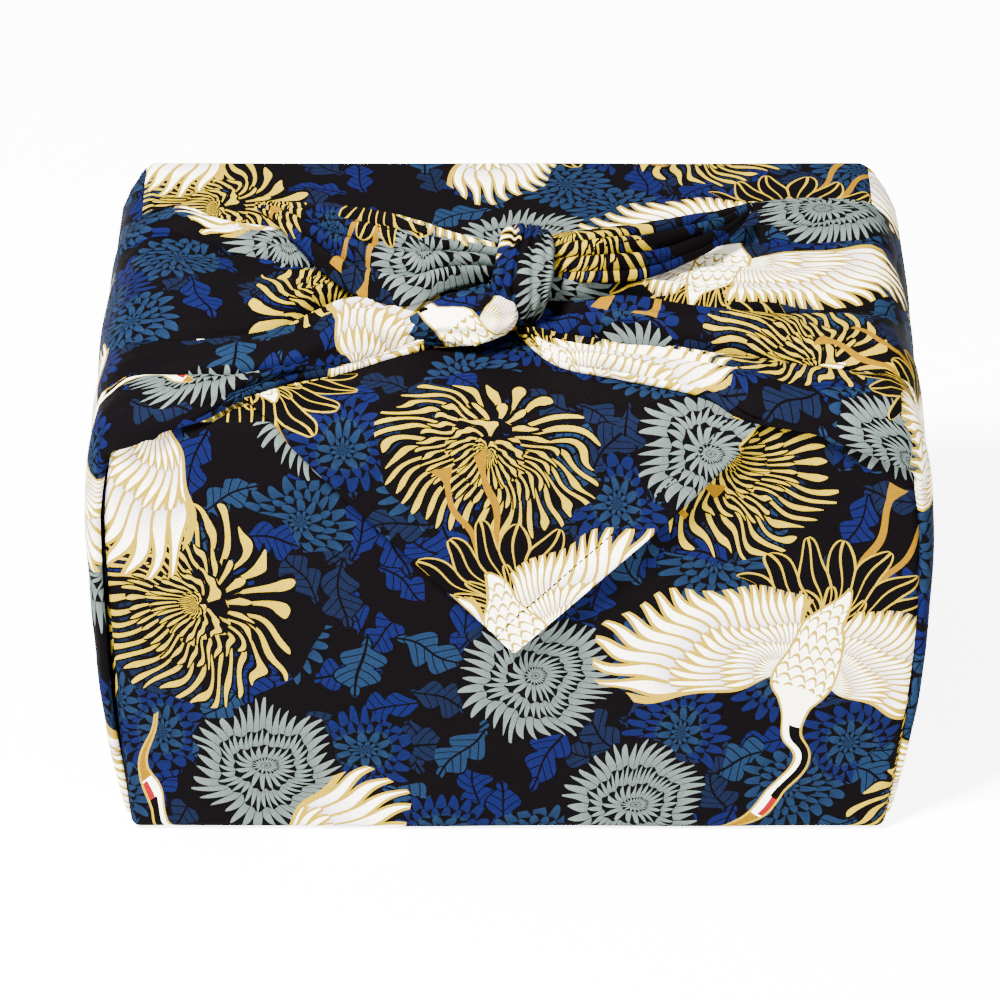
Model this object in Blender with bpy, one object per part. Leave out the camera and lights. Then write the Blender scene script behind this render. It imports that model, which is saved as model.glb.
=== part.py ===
"""Furoshiki wrap: one square of cotton folded round a box-shaped content and knotted on top.

Metres, +Z up. The wrap stands on z = 0, its front faces -Y and its knot is on top. The content
never shows, so the wrap is hollow: every wall is a sheet of cloth. The walls, the pointed flap that
hangs on the front, the two gathered tails and the knot are modelled as separate folds of the same
cloth and joined into one solid, wrap_cloth.
"""
import math
from collections import namedtuple

import bmesh
import bpy
from mathutils import Vector

# The wrapped block, measured over the cloth
WIDTH = 0.260
DEPTH = 0.1865
HEIGHT = 0.155
BASE_ROUNDING = 0.0032
SIDE_ROUNDING = 0.0045
TOP_ROUNDING = 0.0070
ROUNDING_CHANGE = 0.035      # height over which the upright edges change to those radii

# The walls swell between the bottom and the top
SWELL_HEIGHT = 0.105
SWELL = 1.011
BOTTOM_DRAW_IN = 0.055
TOP_DRAW_IN = 0.046
DEPTH_SHARE = 0.12           # how much of the swelling the front and back take
LEAN = 0.0020                # how far the middle of the wrap swells to the right

# The cloth
CLOTH = 0.0018
LAYER_GAP = 0.0006

HALF_WIDTH = WIDTH / 2
HALF_DEPTH = DEPTH / 2
TAIL_LAYER = CLOTH + 2 * LAYER_GAP   # over the top the tails lie on the flap's layer

# The pointed flap: a right-angled corner of the square that comes over the top
FLAP_POINT_DROP = 0.084
FLAP_START = -0.012          # where it leaves the top wall
FLAP_CLEAR = -0.030          # where it lies free above the wall
FLAP_MAX_HALF = 0.112
FLAP_LEFT_SHARE = 0.93       # the flap is a little narrower on its left
FLAP_POINT_HALF = 0.0012
FLAP_ROOT_LIFT = -0.0011     # its root is part of the top wall

# The slit where the opposite corner lies under the flap
SLIT_LENGTH = 0.100
SLIT_WIDTH = 0.004
SLIT_Y = -0.068

# The knot, a ring of cloth drawn tight round the two gathered tails
KNOT_CENTRE = Vector((0.0035, -0.0290, 0.1725))
KNOT_CORE = Vector((0.0125, 0.0165, 0.0145))
BAND_RADIUS_Y = 0.0153
BAND_RADIUS_Z = 0.0136
BAND_HALF_WIDTH = 0.0085
BAND_THICKNESS = 0.0032
BAND_LEAN = 0.0022
Strip = namedtuple("Strip", "across out")
BAND_PROFILE = (Strip(-1.00, 0.10), Strip(-0.78, 0.75), Strip(-0.40, 1.00), Strip(-0.05, 0.80),
                Strip(0.35, 1.00), Strip(0.78, 0.78), Strip(1.00, 0.10), Strip(0.60, -0.60),
                Strip(-0.60, -0.60))

# How finely the folds are divided
WALL_LEVELS = (0.018, 0.036, 0.060, 0.085, 0.110, 0.130)
WIDTH_STEPS = 6
DEPTH_STEPS = 4
FLAP_COLUMNS = 12
ROWS_PER_STEP = 3
COLUMNS_PER_PLEAT = 4
EAR_COLUMNS = 6
BAND_STEPS = 24
BALL_SEGMENTS = 18

# A tail from the knot outwards over the top. reach: distance from the middle plane. fold_*: the y of
# the five folds from rear to front; past the front edge it goes on as a drop. lift_*: how high each
# fold lies over the cloth beneath. puff_*: how far each of the four pleats swells between its folds.
Tail = namedtuple("Tail", "reach fold_a fold_b fold_c fold_d fold_e lift_a lift_b lift_c lift_d "
                          "lift_e puff_a puff_b puff_c puff_d")

RIGHT_TAIL = (
    Tail(0.003, -0.016, -0.021, -0.030, -0.037, -0.042, 0.012, 0.018, 0.016, 0.008, 0.003,
         0.002, 0.003, 0.003, 0.002),
    Tail(0.016, -0.010, -0.018, -0.033, -0.042, -0.061, 0.006, 0.014, 0.012, 0.002, 0.000,
         0.003, 0.006, 0.004, 0.003),
    Tail(0.037, 0.008, -0.008, -0.031, -0.046, -0.0705, 0.002, 0.007, 0.008, 0.001, 0.000,
         0.003, 0.005, 0.006, 0.003),
    Tail(0.060, 0.027, 0.009, -0.032, -0.051, -0.0800, 0.0005, 0.002, 0.004, 0.000, 0.000,
         0.002, 0.004, 0.006, 0.003),
    Tail(0.080, 0.046, 0.020, -0.032, -0.057, -0.0935, 0.0, 0.001, 0.002, 0.000, 0.000,
         0.0015, 0.0035, 0.005, 0.003),
    Tail(0.105, 0.052, 0.022, -0.029, -0.063, -0.0990, 0.0, 0.0, 0.001, 0.000, -0.001,
         0.001, 0.002, 0.003, 0.002),
    Tail(0.130, 0.053, 0.026, -0.024, -0.066, -0.1120, -0.0018, -0.0018, -0.0018, -0.0018, -0.0018,
         0.0010, 0.0018, 0.0022, 0.0015),
)

LEFT_TAIL = (
    Tail(-0.003, -0.016, -0.021, -0.030, -0.037, -0.042, 0.012, 0.018, 0.016, 0.008, 0.003,
         0.002, 0.003, 0.003, 0.002),
    Tail(0.012, -0.010, -0.018, -0.028, -0.038, -0.045, 0.004, 0.010, 0.011, 0.005, 0.001,
         0.002, 0.003, 0.003, 0.001),
    Tail(0.035, 0.006, -0.006, -0.022, -0.050, -0.0525, 0.001, 0.003, 0.004, 0.001, 0.000,
         0.002, 0.003, 0.006, 0.001),
    Tail(0.055, 0.020, 0.002, -0.017, -0.0625, -0.0650, 0.0, 0.001, 0.001, 0.001, 0.000,
         0.002, 0.0025, 0.007, 0.001),
    Tail(0.075, 0.028, 0.006, -0.038, -0.0690, -0.0745, 0.0, 0.0, 0.0005, 0.001, 0.000,
         0.003, 0.0025, 0.004, 0.002),
    Tail(0.100, 0.036, 0.019, -0.044, -0.0700, -0.0920, 0.0, 0.0, 0.000, 0.000, -0.001,
         0.002, 0.003, 0.002, 0.002),
    Tail(0.115, 0.049, 0.030, -0.044, -0.0690, -0.0980, -0.001, -0.001, -0.001, -0.001, -0.001,
         0.002, 0.003, 0.001, 0.001),
    Tail(0.130, 0.044, 0.026, -0.044, -0.0700, -0.1060, -0.0018, -0.0018, -0.0018, -0.0018, -0.0018,
         0.001, 0.002, 0.001, 0.001),
)

# The side panel below each tail, from the top edge down to the bottom of the wrap
Side = namedtuple("Side", "rear_z front_z rear_y front_y puff fall")

SIDE_PANEL = (
    Side(0.140, 0.128, 0.056, -0.0930, 0.80, 1.00),
    Side(0.115, 0.104, 0.061, -0.0925, 0.45, 1.00),
    Side(0.080, 0.072, 0.067, -0.0915, 0.15, 0.95),
    Side(0.044, 0.040, 0.075, -0.0900, 0.00, 0.80),
    Side(0.014, 0.014, 0.082, -0.0885, 0.00, 0.30),
    Side(0.0045, 0.0045, 0.084, -0.0880, 0.00, 0.00),
)
RIGHT_FALL = 0.0008          # how far the panels fall clear of the walls
LEFT_FALL = 0.0030

# A free end of the knot, from its root to its tip: the middle of the leaf, its half width, the tilt
# of its face towards the front, and how far its middle swells out of its edges
Ear = namedtuple("Ear", "x y z half_width tilt swell")

LEFT_EAR = (
    Ear(0.002, -0.0240, 0.1735, 0.0060, 40, 0.0030),
    Ear(-0.009, -0.0250, 0.1750, 0.0070, 40, 0.0040),
    Ear(-0.021, -0.0260, 0.1755, 0.0105, 38, 0.0045),
    Ear(-0.031, -0.0250, 0.1740, 0.0155, 35, 0.0045),
    Ear(-0.041, -0.0170, 0.1715, 0.0170, 31, 0.0045),
    Ear(-0.052, -0.0060, 0.1690, 0.0165, 27, 0.0040),
    Ear(-0.065, 0.0115, 0.1660, 0.0115, 22, 0.0030),
    Ear(-0.076, 0.0290, 0.1640, 0.0050, 16, 0.0015),
    Ear(-0.084, 0.0360, 0.1630, 0.0012, 14, 0.0003),
)

RIGHT_EAR = (
    Ear(0.004, -0.0240, 0.1735, 0.0065, 42, 0.0030),
    Ear(0.017, -0.0240, 0.1755, 0.0080, 40, 0.0040),
    Ear(0.030, -0.0210, 0.1745, 0.0092, 36, 0.0045),
    Ear(0.046, -0.0115, 0.1715, 0.0100, 32, 0.0035),
    Ear(0.062, 0.0040, 0.1685, 0.0082, 28, 0.0025),
    Ear(0.072, 0.0160, 0.1665, 0.0060, 24, 0.0015),
    Ear(0.078, 0.0270, 0.1650, 0.0035, 20, 0.0008),
    Ear(0.081, 0.0330, 0.1645, 0.0012, 18, 0.0003),
)

# The lower loop of the knot, which comes out to the left under the band and narrows away from it
LOBE_CENTRE = Vector((-0.0163, -0.0452, 0.1652))
LOBE_RADII = Vector((0.0200, 0.0120, 0.0088))
LOBE_TURN = math.radians(11)
LOBE_TAPER = 0.35

CLOTH_COLOUR = (0.035, 0.045, 0.110, 1.0)


def ease(value):
    """Smooth step from 0 to 1."""
    value = min(max(value, 0.0), 1.0)
    return value * value * (3.0 - 2.0 * value)


def clamp(value, limit):
    """Keep a value between -limit and limit."""
    return min(max(value, -limit), limit)


def swell(z):
    """Width of the wrap at a height, as a share of its full width."""
    if z < SWELL_HEIGHT:
        return SWELL - BOTTOM_DRAW_IN * ((SWELL_HEIGHT - z) / SWELL_HEIGHT) ** 2
    return SWELL - TOP_DRAW_IN * min(1.0, (z - SWELL_HEIGHT) / (HEIGHT - SWELL_HEIGHT)) ** 2


def edge_rounding(z):
    """Radius of the upright edges at a height; it meets the base's and the top's own radius."""
    near_top = ease((ROUNDING_CHANGE - HEIGHT + z) / (ROUNDING_CHANGE - TOP_ROUNDING))
    near_base = ease((ROUNDING_CHANGE - z) / (ROUNDING_CHANGE - BASE_ROUNDING))
    return (SIDE_ROUNDING + (TOP_ROUNDING - SIDE_ROUNDING) * near_top
            + (BASE_ROUNDING - SIDE_ROUNDING) * near_base)


def on_wrap(point, lift):
    """Carry a point of the plain block onto the rounded, swollen wrap, lift outside its wall."""
    x, y, z = point
    rounding = edge_rounding(z)
    core = Vector((clamp(x, HALF_WIDTH - rounding), clamp(y, HALF_DEPTH - rounding),
                   min(max(z, BASE_ROUNDING), HEIGHT - TOP_ROUNDING)))
    outwards = (Vector((x, y, z)) - core).normalized()
    placed = core + outwards * (rounding + lift)
    share = swell(placed.z)
    placed.x = placed.x * share + LEAN * math.sin(math.pi * min(max(placed.z / HEIGHT, 0.0), 1.0))
    placed.y *= 1.0 + (share - 1.0) * DEPTH_SHARE
    return placed


def new_object(name, collection, mesh_builder):
    """Make a mesh object in a collection from a function that returns a bmesh."""
    bm = mesh_builder()
    bmesh.ops.remove_doubles(bm, verts=bm.verts, dist=0.00001)
    bmesh.ops.recalc_face_normals(bm, faces=bm.faces)
    mesh = bpy.data.meshes.new(name)
    bm.to_mesh(mesh)
    bm.free()
    obj = bpy.data.objects.new(name, mesh)
    collection.objects.link(obj)
    return obj


def skin_rings(bm, rings, closed=True):
    """Join rings of points with quads."""
    loops = [[bm.verts.new(point) for point in ring] for ring in rings]
    count = len(loops[0])
    for lower, upper in zip(loops, loops[1:]):
        for i in range(count if closed else count - 1):
            j = (i + 1) % count
            bm.faces.new((lower[i], lower[j], upper[j], upper[i]))
    return loops


def spread(first, last, steps):
    """Evenly spaced values from first to last."""
    return [first + (last - first) * i / steps for i in range(steps + 1)]


def edge_steps(half, steps):
    """Places along an edge of the block from -half to half, close together at its corners."""
    flat = half - SIDE_ROUNDING
    corner = [-half, -half + SIDE_ROUNDING * 0.5]
    return corner + spread(-flat, flat, steps) + [-c for c in reversed(corner)]


def block_ring(z, inset):
    """Points round the plain block at one height, drawn in from its edges by inset."""
    front = [(x, -HALF_DEPTH) for x in edge_steps(HALF_WIDTH, WIDTH_STEPS)[:-1]]
    right = [(HALF_WIDTH, y) for y in edge_steps(HALF_DEPTH, DEPTH_STEPS)[:-1]]
    outline = front + right
    outline += [(-x, -y) for x, y in outline]
    return [(clamp(x, HALF_WIDTH - inset), clamp(y, HALF_DEPTH - inset), z) for x, y in outline]


def wall_block(lift):
    """The wrap's block as a closed body, its walls moved out by lift."""
    levels = [(0.0, BASE_ROUNDING), (0.0, BASE_ROUNDING * 0.5), (0.0, 0.0)]
    levels += [(BASE_ROUNDING * 0.5, 0.0), (BASE_ROUNDING, 0.0)]
    levels += [(z, 0.0) for z in WALL_LEVELS]
    levels += [(HEIGHT - TOP_ROUNDING, 0.0), (HEIGHT - TOP_ROUNDING * 0.5, 0.0), (HEIGHT, 0.0)]
    levels += [(HEIGHT, TOP_ROUNDING * 0.5), (HEIGHT, TOP_ROUNDING)]

    def build():
        bm = bmesh.new()
        rings = [[on_wrap(point, lift) for point in block_ring(z, inset)] for z, inset in levels]
        loops = skin_rings(bm, rings)
        bm.faces.new(loops[0][::-1])
        bm.faces.new(loops[-1])
        return bm
    return build


def sheet(rows):
    """A closed sheet from rows of (point of the plain block, lift), CLOTH thick outwards."""
    def build():
        bm = bmesh.new()
        rings = []
        for row in rows:
            outer = [on_wrap(point, lift + CLOTH) for point, lift in row]
            inner = [on_wrap(point, lift) for point, lift in row]
            rings.append(outer + inner[::-1])
        loops = skin_rings(bm, rings)
        close_strip(bm, loops[0])
        close_strip(bm, loops[-1])
        return bm
    return build


def close_strip(bm, loop):
    """Close the end of a sheet with quads across its thickness."""
    half = len(loop) // 2
    for i in range(half - 1):
        bm.faces.new((loop[i], loop[i + 1], loop[-2 - i], loop[-1 - i]))


def over_front_edge(x, reach):
    """A point of the plain block reached by going forwards on the top and down the front."""
    if reach > -HALF_DEPTH:
        return x, reach, HEIGHT
    return x, -HALF_DEPTH, HEIGHT + HALF_DEPTH + reach


def flap_rows():
    """The pointed flap, from the top wall over the front edge to its point."""
    point_reach = -HALF_DEPTH - FLAP_POINT_DROP
    reaches = spread(FLAP_START, FLAP_CLEAR, 2)
    reaches += spread(FLAP_CLEAR, -HALF_DEPTH + TOP_ROUNDING, 3)[1:]
    reaches += spread(-HALF_DEPTH + TOP_ROUNDING, -HALF_DEPTH - TOP_ROUNDING, 4)[1:]
    reaches += spread(-HALF_DEPTH - TOP_ROUNDING, point_reach + FLAP_POINT_HALF, 7)[1:]
    rows = []
    for reach in reaches:
        half = min(reach - point_reach, FLAP_MAX_HALF)
        share = ease((FLAP_START - reach) / (FLAP_START - FLAP_CLEAR))
        lift = FLAP_ROOT_LIFT + (LAYER_GAP - FLAP_ROOT_LIFT) * share
        row = []
        for x in spread(-half, half, FLAP_COLUMNS):
            x *= FLAP_LEFT_SHARE if x < 0.0 else 1.0
            row.append((over_front_edge(x, reach), lift))
        rows.append(row)
    return rows


def pleat_lift(row_lifts, row_puffs, pleat, share):
    """Height across one pleat: it rises gently from its rear fold and falls steeply at the front."""
    base = row_lifts[pleat] + (row_lifts[pleat + 1] - row_lifts[pleat]) * share
    return base + row_puffs[pleat] * math.sin(math.pi * share ** 1.6)


def tail_rows(tail, side, fall):
    """The nominal points and lifts of a tail and the side panel below it; side is 1 or -1."""
    stations = []
    for row in tail:
        folds = row[1:6]
        points = []
        for pleat in range(4):
            for step in range(COLUMNS_PER_PLEAT):
                share = step / COLUMNS_PER_PLEAT
                y = folds[pleat] + (folds[pleat + 1] - folds[pleat]) * share
                lift = pleat_lift(row[6:11], row[11:15], pleat, share)
                points.append((over_front_edge(side * row.reach, y), lift + TAIL_LAYER))
        points.append((over_front_edge(side * row.reach, folds[4]), row.lift_e + TAIL_LAYER))
        stations.append(points)
    edge = tail[-1]
    last = len(stations[-1]) - 1
    top_shares = [(point[1] - edge.fold_a) / (-HALF_DEPTH - edge.fold_a) for point, _ in stations[-1]]
    shares = [0.5 * share + 0.5 * i / last for i, share in enumerate(top_shares)]
    for row in SIDE_PANEL:
        points = []
        for i, share in enumerate(shares):
            y = row.rear_y + (row.front_y - row.rear_y) * share
            z = row.rear_z + (row.front_z - row.rear_z) * share * share
            pleat, step = min(i // COLUMNS_PER_PLEAT, 3), i % COLUMNS_PER_PLEAT
            if i == last:
                step = COLUMNS_PER_PLEAT
            puff = pleat_lift((0.0,) * 5, edge[11:15], pleat, step / COLUMNS_PER_PLEAT) * row.puff
            lift = (fall + CLOTH * 0.5) * row.fall - CLOTH * 0.5 + puff
            points.append(((side * HALF_WIDTH, y, z), lift))
        stations.append(points)
    return stations


def refine(stations, steps):
    """Smooth rows between stations, as a Catmull-Rom curve down each column."""
    rows = []
    last = len(stations) - 1
    for i in range(last):
        four = [stations[min(max(k, 0), last)] for k in (i - 1, i, i + 1, i + 2)]
        for step in range(steps):
            rows.append([between(knots, step / steps) for knots in zip(*four)])
    rows.append(stations[-1])
    return rows


def between(knots, t):
    """The point and lift at share t between the two middle knots."""
    values = [(*point, lift) for point, lift in knots]
    weights = (0.5 * (-t + 2 * t * t - t ** 3), 0.5 * (2 - 5 * t * t + 3 * t ** 3),
               0.5 * (t + 4 * t * t - 3 * t ** 3), 0.5 * (-t * t + t ** 3))
    mixed = [sum(w * value[k] for w, value in zip(weights, values)) for k in range(4)]
    return tuple(mixed[:3]), mixed[3]


def leaf(ear):
    """A free end of the knot: a leaf-shaped sheet with a swollen middle, closed all round."""
    def build():
        bm = bmesh.new()
        stations = [[((row.x, row.y, row.z), value) for value in (row.half_width,
                     math.radians(row.tilt), row.swell)] for row in ear]
        rings = []
        for row in refine(stations, ROWS_PER_STEP):
            middle = Vector(row[0][0])
            half, tilt, puff = (value for _, value in row)
            out = Vector((0.0, math.cos(tilt), math.sin(tilt)))
            up = Vector((0.0, -math.sin(tilt), math.cos(tilt)))
            shares = spread(-1.0, 1.0, EAR_COLUMNS)
            top = [middle + out * half * s + up * (puff * (1 - s * s) + CLOTH) for s in shares]
            under = [middle + out * half * s + up * puff * (1 - s * s) for s in shares]
            rings.append(top + under[::-1])
        loops = skin_rings(bm, rings)
        close_strip(bm, loops[0])
        close_strip(bm, loops[-1])
        return bm
    return build


def band():
    """The ring of the knot: a soft strip, drawn in along its middle, that runs round the tails."""
    bm = bmesh.new()
    rings = []
    for step in range(BAND_STEPS + 1):
        angle = 2 * math.pi * step / BAND_STEPS
        lean = BAND_LEAN * math.sin(angle)
        ring = []
        for row in BAND_PROFILE:
            grow = BAND_THICKNESS * row.out
            ring.append(KNOT_CENTRE + Vector((row.across * BAND_HALF_WIDTH + lean,
                                              math.cos(angle) * (BAND_RADIUS_Y + grow),
                                              math.sin(angle) * (BAND_RADIUS_Z + grow))))
        rings.append(ring)
    skin_rings(bm, rings)
    return bm


def rounded_body(centre, radii, turn=0.0, taper=0.0):
    """A closed rounded body from a UV sphere primitive, narrower towards -X where it tapers."""
    def build():
        bm = bmesh.new()
        bmesh.ops.create_uvsphere(bm, u_segments=BALL_SEGMENTS, v_segments=BALL_SEGMENTS // 2,
                                  radius=1.0)
        for vert in bm.verts:
            narrowing = 1.0 + taper * vert.co.x
            x = vert.co.x * radii.x
            y = vert.co.y * radii.y * narrowing
            z = vert.co.z * radii.z * narrowing
            vert.co = centre + Vector((x * math.cos(turn) - z * math.sin(turn), y,
                                       x * math.sin(turn) + z * math.cos(turn)))
        return bm
    return build


def box(centre, size):
    """A plain box."""
    def build():
        bm = bmesh.new()
        bmesh.ops.create_cube(bm, size=1.0)
        for vert in bm.verts:
            vert.co = Vector([centre[i] + vert.co[i] * size[i] for i in range(3)])
        return bm
    return build


def combine(target, tool, operation):
    """Add a Boolean to the target and hide its tool."""
    modifier = target.modifiers.new(tool.name, "BOOLEAN")
    modifier.operation = operation
    modifier.solver = "EXACT"
    modifier.use_self = operation == "UNION"
    modifier.object = tool
    tool.hide_render = True
    tool.display_type = "WIRE"


def cloth_material():
    """Fine printed cotton: dark, matt."""
    material = bpy.data.materials.new("printed_cotton")
    material.use_nodes = True
    shader = material.node_tree.nodes["Principled BSDF"]
    shader.inputs["Base Color"].default_value = CLOTH_COLOUR
    shader.inputs["Roughness"].default_value = 0.8
    shader.inputs["Metallic"].default_value = 0.0
    return material


def centre_footprint(objects):
    """Move everything so that the finished wrap's box stands centred on the origin."""
    bpy.context.view_layer.update()
    wrap = objects[0].evaluated_get(bpy.context.evaluated_depsgraph_get())
    corners = [Vector(corner) for corner in wrap.bound_box]
    middle_x = (min(c.x for c in corners) + max(c.x for c in corners)) / 2
    middle_y = (min(c.y for c in corners) + max(c.y for c in corners)) / 2
    for obj in objects:
        obj.location = (-middle_x, -middle_y, 0.0)


def main():
    for obj in list(bpy.data.objects):
        bpy.data.objects.remove(obj)
    finished = bpy.data.collections.new("furoshiki_wrap")
    tools = bpy.data.collections.new("furoshiki_wrap_folds")
    for collection in (finished, tools):
        bpy.context.scene.collection.children.link(collection)

    wrap = new_object("wrap_cloth", finished, wall_block(0.0))
    wrap.data.materials.append(cloth_material())
    folds = [
        (new_object("content_space", tools, wall_block(-CLOTH)), "DIFFERENCE"),
        (new_object("corner_slit", tools,
                    box((0.0, SLIT_Y, HEIGHT), (SLIT_LENGTH, SLIT_WIDTH, 6 * CLOTH))), "DIFFERENCE"),
        (new_object("front_flap", tools, sheet(flap_rows())), "UNION"),
        (new_object("right_tail", tools,
                    sheet(refine(tail_rows(RIGHT_TAIL, 1, RIGHT_FALL), ROWS_PER_STEP))), "UNION"),
        (new_object("left_tail", tools,
                    sheet(refine(tail_rows(LEFT_TAIL, -1, LEFT_FALL), ROWS_PER_STEP))), "UNION"),
        (new_object("knot_core", tools, rounded_body(KNOT_CENTRE, KNOT_CORE)), "UNION"),
        (new_object("knot_band", tools, band), "UNION"),
        (new_object("knot_lobe", tools,
                    rounded_body(LOBE_CENTRE, LOBE_RADII, LOBE_TURN, LOBE_TAPER)), "UNION"),
        (new_object("left_ear", tools, leaf(LEFT_EAR)), "UNION"),
        (new_object("right_ear", tools, leaf(RIGHT_EAR)), "UNION"),
    ]
    for tool, operation in folds:
        combine(wrap, tool, operation)
    centre_footprint([wrap] + [tool for tool, _ in folds])


main()
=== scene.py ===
# %% [markdown]
# # A furoshiki wrap
# A furoshiki is one square of cotton. Here it is laid cornerwise round a box, so that one corner
# hangs as a pointed flap on the front while the two side corners are gathered over the top and
# tied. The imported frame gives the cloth's solid form; this script dresses it with fine cloth.

# %% Load the frame
import math
from collections import namedtuple

import bmesh
import bpy
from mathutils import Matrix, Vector, noise


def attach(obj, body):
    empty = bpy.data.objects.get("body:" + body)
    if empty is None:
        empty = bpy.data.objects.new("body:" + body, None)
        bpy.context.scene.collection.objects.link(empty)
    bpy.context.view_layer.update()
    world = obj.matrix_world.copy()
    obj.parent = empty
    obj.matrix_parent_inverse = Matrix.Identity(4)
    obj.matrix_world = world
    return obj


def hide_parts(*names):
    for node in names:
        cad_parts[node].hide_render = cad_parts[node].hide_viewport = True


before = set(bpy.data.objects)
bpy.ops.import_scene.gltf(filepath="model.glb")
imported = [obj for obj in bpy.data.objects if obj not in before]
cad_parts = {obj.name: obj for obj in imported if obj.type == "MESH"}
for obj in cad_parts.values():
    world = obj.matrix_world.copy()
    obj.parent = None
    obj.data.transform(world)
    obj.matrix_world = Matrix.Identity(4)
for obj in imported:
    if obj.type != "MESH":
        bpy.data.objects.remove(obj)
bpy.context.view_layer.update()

# %% [markdown]
# ## Sizes
# The cloth follows the same block, roundings and swelling as its solid, so the same few sizes drive
# both. The real cloth is far thinner than the solid's wall, so it lies on the wall's outer face.
# Sizes are in metres, and in millimetres in the tables.

# %% Sizes of the wrap
WIDTH = 0.260
DEPTH = 0.1865
HEIGHT = 0.155
BASE_ROUNDING = 0.0032
SIDE_ROUNDING = 0.0045
TOP_ROUNDING = 0.0070
ROUNDING_CHANGE = 0.035
REAR_SHARPER = 0.3  # the cloth is pulled tighter over the rear corners,
REAR_FROM = 0.04  # which begin here
REAR_BLEND = 0.04
SWELL_HEIGHT = 0.105
SWELL = 1.011
BOTTOM_DRAW_IN = 0.055
TOP_DRAW_IN = 0.046
DEPTH_SHARE = 0.12
LEAN = 0.0020
SHIFT = Vector((-0.0005, 0.0016, 0.0))  # centres the finished wrap on the origin

HALF_WIDTH = WIDTH / 2
HALF_DEPTH = DEPTH / 2
HALF_DIAGONAL = 0.509  # from the middle of the square to a corner
FABRIC = 0.00045  # thickness of one layer of the cotton
FLAP_DROP = 0.084
TINY = 1e-6  # two places this close are one place

# %% [markdown]
# ## From a plain block to the wrap
# A box inside gives the wrap its flat faces, and the cloth rounds its edges and makes it bulge. It
# could be modelled face by face. It is easier to say each fold as a place on a plain block and a
# height over it, and to let one function carry that place onto the rounded, swollen wrap.

# %% Small helpers for shapes
def limited(value, low, high):
    """Keep a value between low and high."""
    return min(max(value, low), high)


def ease(value):
    """Smooth step from 0 to 1."""
    value = limited(value, 0.0, 1.0)
    return value * value * (3.0 - 2.0 * value)


def hump(value, start, rise, end, fall):
    """0 at the start, up to 1 over a length, and down again to 0 at the end."""
    return ease((value - start) / rise) * ease((end - value) / fall)


def spread(first, last, steps):
    """Evenly spaced values from first to last."""
    return [first + (last - first) * i / steps for i in range(steps + 1)]


def dent(away, width):
    """The hollow of a crease, 1 at its middle and fading over its width."""
    return math.exp(-(away / width) ** 2)


def metres(value):
    """Millimetres as metres, in a number or in each number of a row."""
    if isinstance(value, tuple):
        return tuple(metres(part) for part in value)
    return value / 1000.0


print("a smooth step in quarters:", [round(ease(value), 3) for value in spread(0.0, 1.0, 4)])


# %% The block made soft
def edge_rounding(z):
    """Radius of the upright edges at a height."""
    near_top = ease((ROUNDING_CHANGE - HEIGHT + z) / (ROUNDING_CHANGE - TOP_ROUNDING))
    near_base = ease((ROUNDING_CHANGE - z) / (ROUNDING_CHANGE - BASE_ROUNDING))
    return (SIDE_ROUNDING + (TOP_ROUNDING - SIDE_ROUNDING) * near_top
            + (BASE_ROUNDING - SIDE_ROUNDING) * near_base)


def swell(z):
    """Width of the wrap at a height, as a share of its full width."""
    if z < SWELL_HEIGHT:
        return SWELL - BOTTOM_DRAW_IN * ((SWELL_HEIGHT - z) / SWELL_HEIGHT) ** 2
    return SWELL - TOP_DRAW_IN * min(1.0, (z - SWELL_HEIGHT) / (HEIGHT - SWELL_HEIGHT)) ** 2


def on_wrap(point, lift):
    """Carry a point of the plain block onto the rounded, swollen wrap, lift outside its wall."""
    x, y, z = point
    softness = 1.0 - REAR_SHARPER * ease((y - REAR_FROM) / REAR_BLEND)
    rounding = edge_rounding(z) * softness
    core = Vector((limited(x, rounding - HALF_WIDTH, HALF_WIDTH - rounding),
                   limited(y, rounding - HALF_DEPTH, HALF_DEPTH - rounding),
                   limited(z, BASE_ROUNDING * softness, HEIGHT - TOP_ROUNDING * softness)))
    outwards = (Vector((x, y, z)) - core).normalized()
    placed = core + outwards * (rounding + lift)
    share = swell(placed.z)
    upright = limited(placed.z / HEIGHT, 0.0, 1.0)
    placed.x = placed.x * share + LEAN * math.sin(math.pi * upright)
    placed.y *= 1.0 + (share - 1.0) * DEPTH_SHARE
    return placed + SHIFT


print("top front edge sits at", tuple(round(v, 4) for v in on_wrap((0, -HALF_DEPTH, HEIGHT), 0)))


# %% [markdown]
# ## A sheet of cloth
# Every fold is a grid of points with its own flat place on the square, kept in a UV map in metres.
# The print and the weave are drawn in that flat place, so they bend with the folds as real cloth
# does. A second map holds the distance to the hem, for its stitches.

# %% Sheet builder
FAR_FROM_HEM = 0.2


def thicken(obj, thickness):
    """Give a sheet its thickness, inwards from its outer face."""
    solid = obj.modifiers.new("cloth thickness", "SOLIDIFY")
    solid.thickness = thickness
    solid.offset = -1.0


def make_sheet(name, points, strips, hem=None, thickness=FABRIC):
    """A cloth sheet; strips are (first column, last column, flat places), one to a run of print."""
    columns = len(points[0])
    faces, flat, edge = [], [], []
    for first, last, places in strips:
        for i in range(len(points) - 1):
            for j in range(first, last):
                corners = ((i, j), (i, j + 1), (i + 1, j + 1), (i + 1, j))
                faces.append([a * columns + b for a, b in corners])
                flat.extend(places[a][b - first] for a, b in corners)
                edge.extend(hem[a][b] if hem else (FAR_FROM_HEM, 0.0) for a, b in corners)
    mesh = bpy.data.meshes.new(name)
    mesh.from_pydata([point for row in points for point in row], [], faces)
    for layer, values in (("cloth", flat), ("hem", edge)):
        uv_map = mesh.uv_layers.new(name=layer)
        uv_map.data.foreach_set("uv", [number for pair in values for number in pair])
    mesh.polygons.foreach_set("use_smooth", [True] * len(mesh.polygons))
    mesh.update()
    obj = bpy.data.objects.new(name, mesh)
    bpy.context.scene.collection.objects.link(obj)
    if thickness:
        thicken(obj, thickness)
    print(name, len(mesh.polygons), "faces")
    return obj


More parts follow.
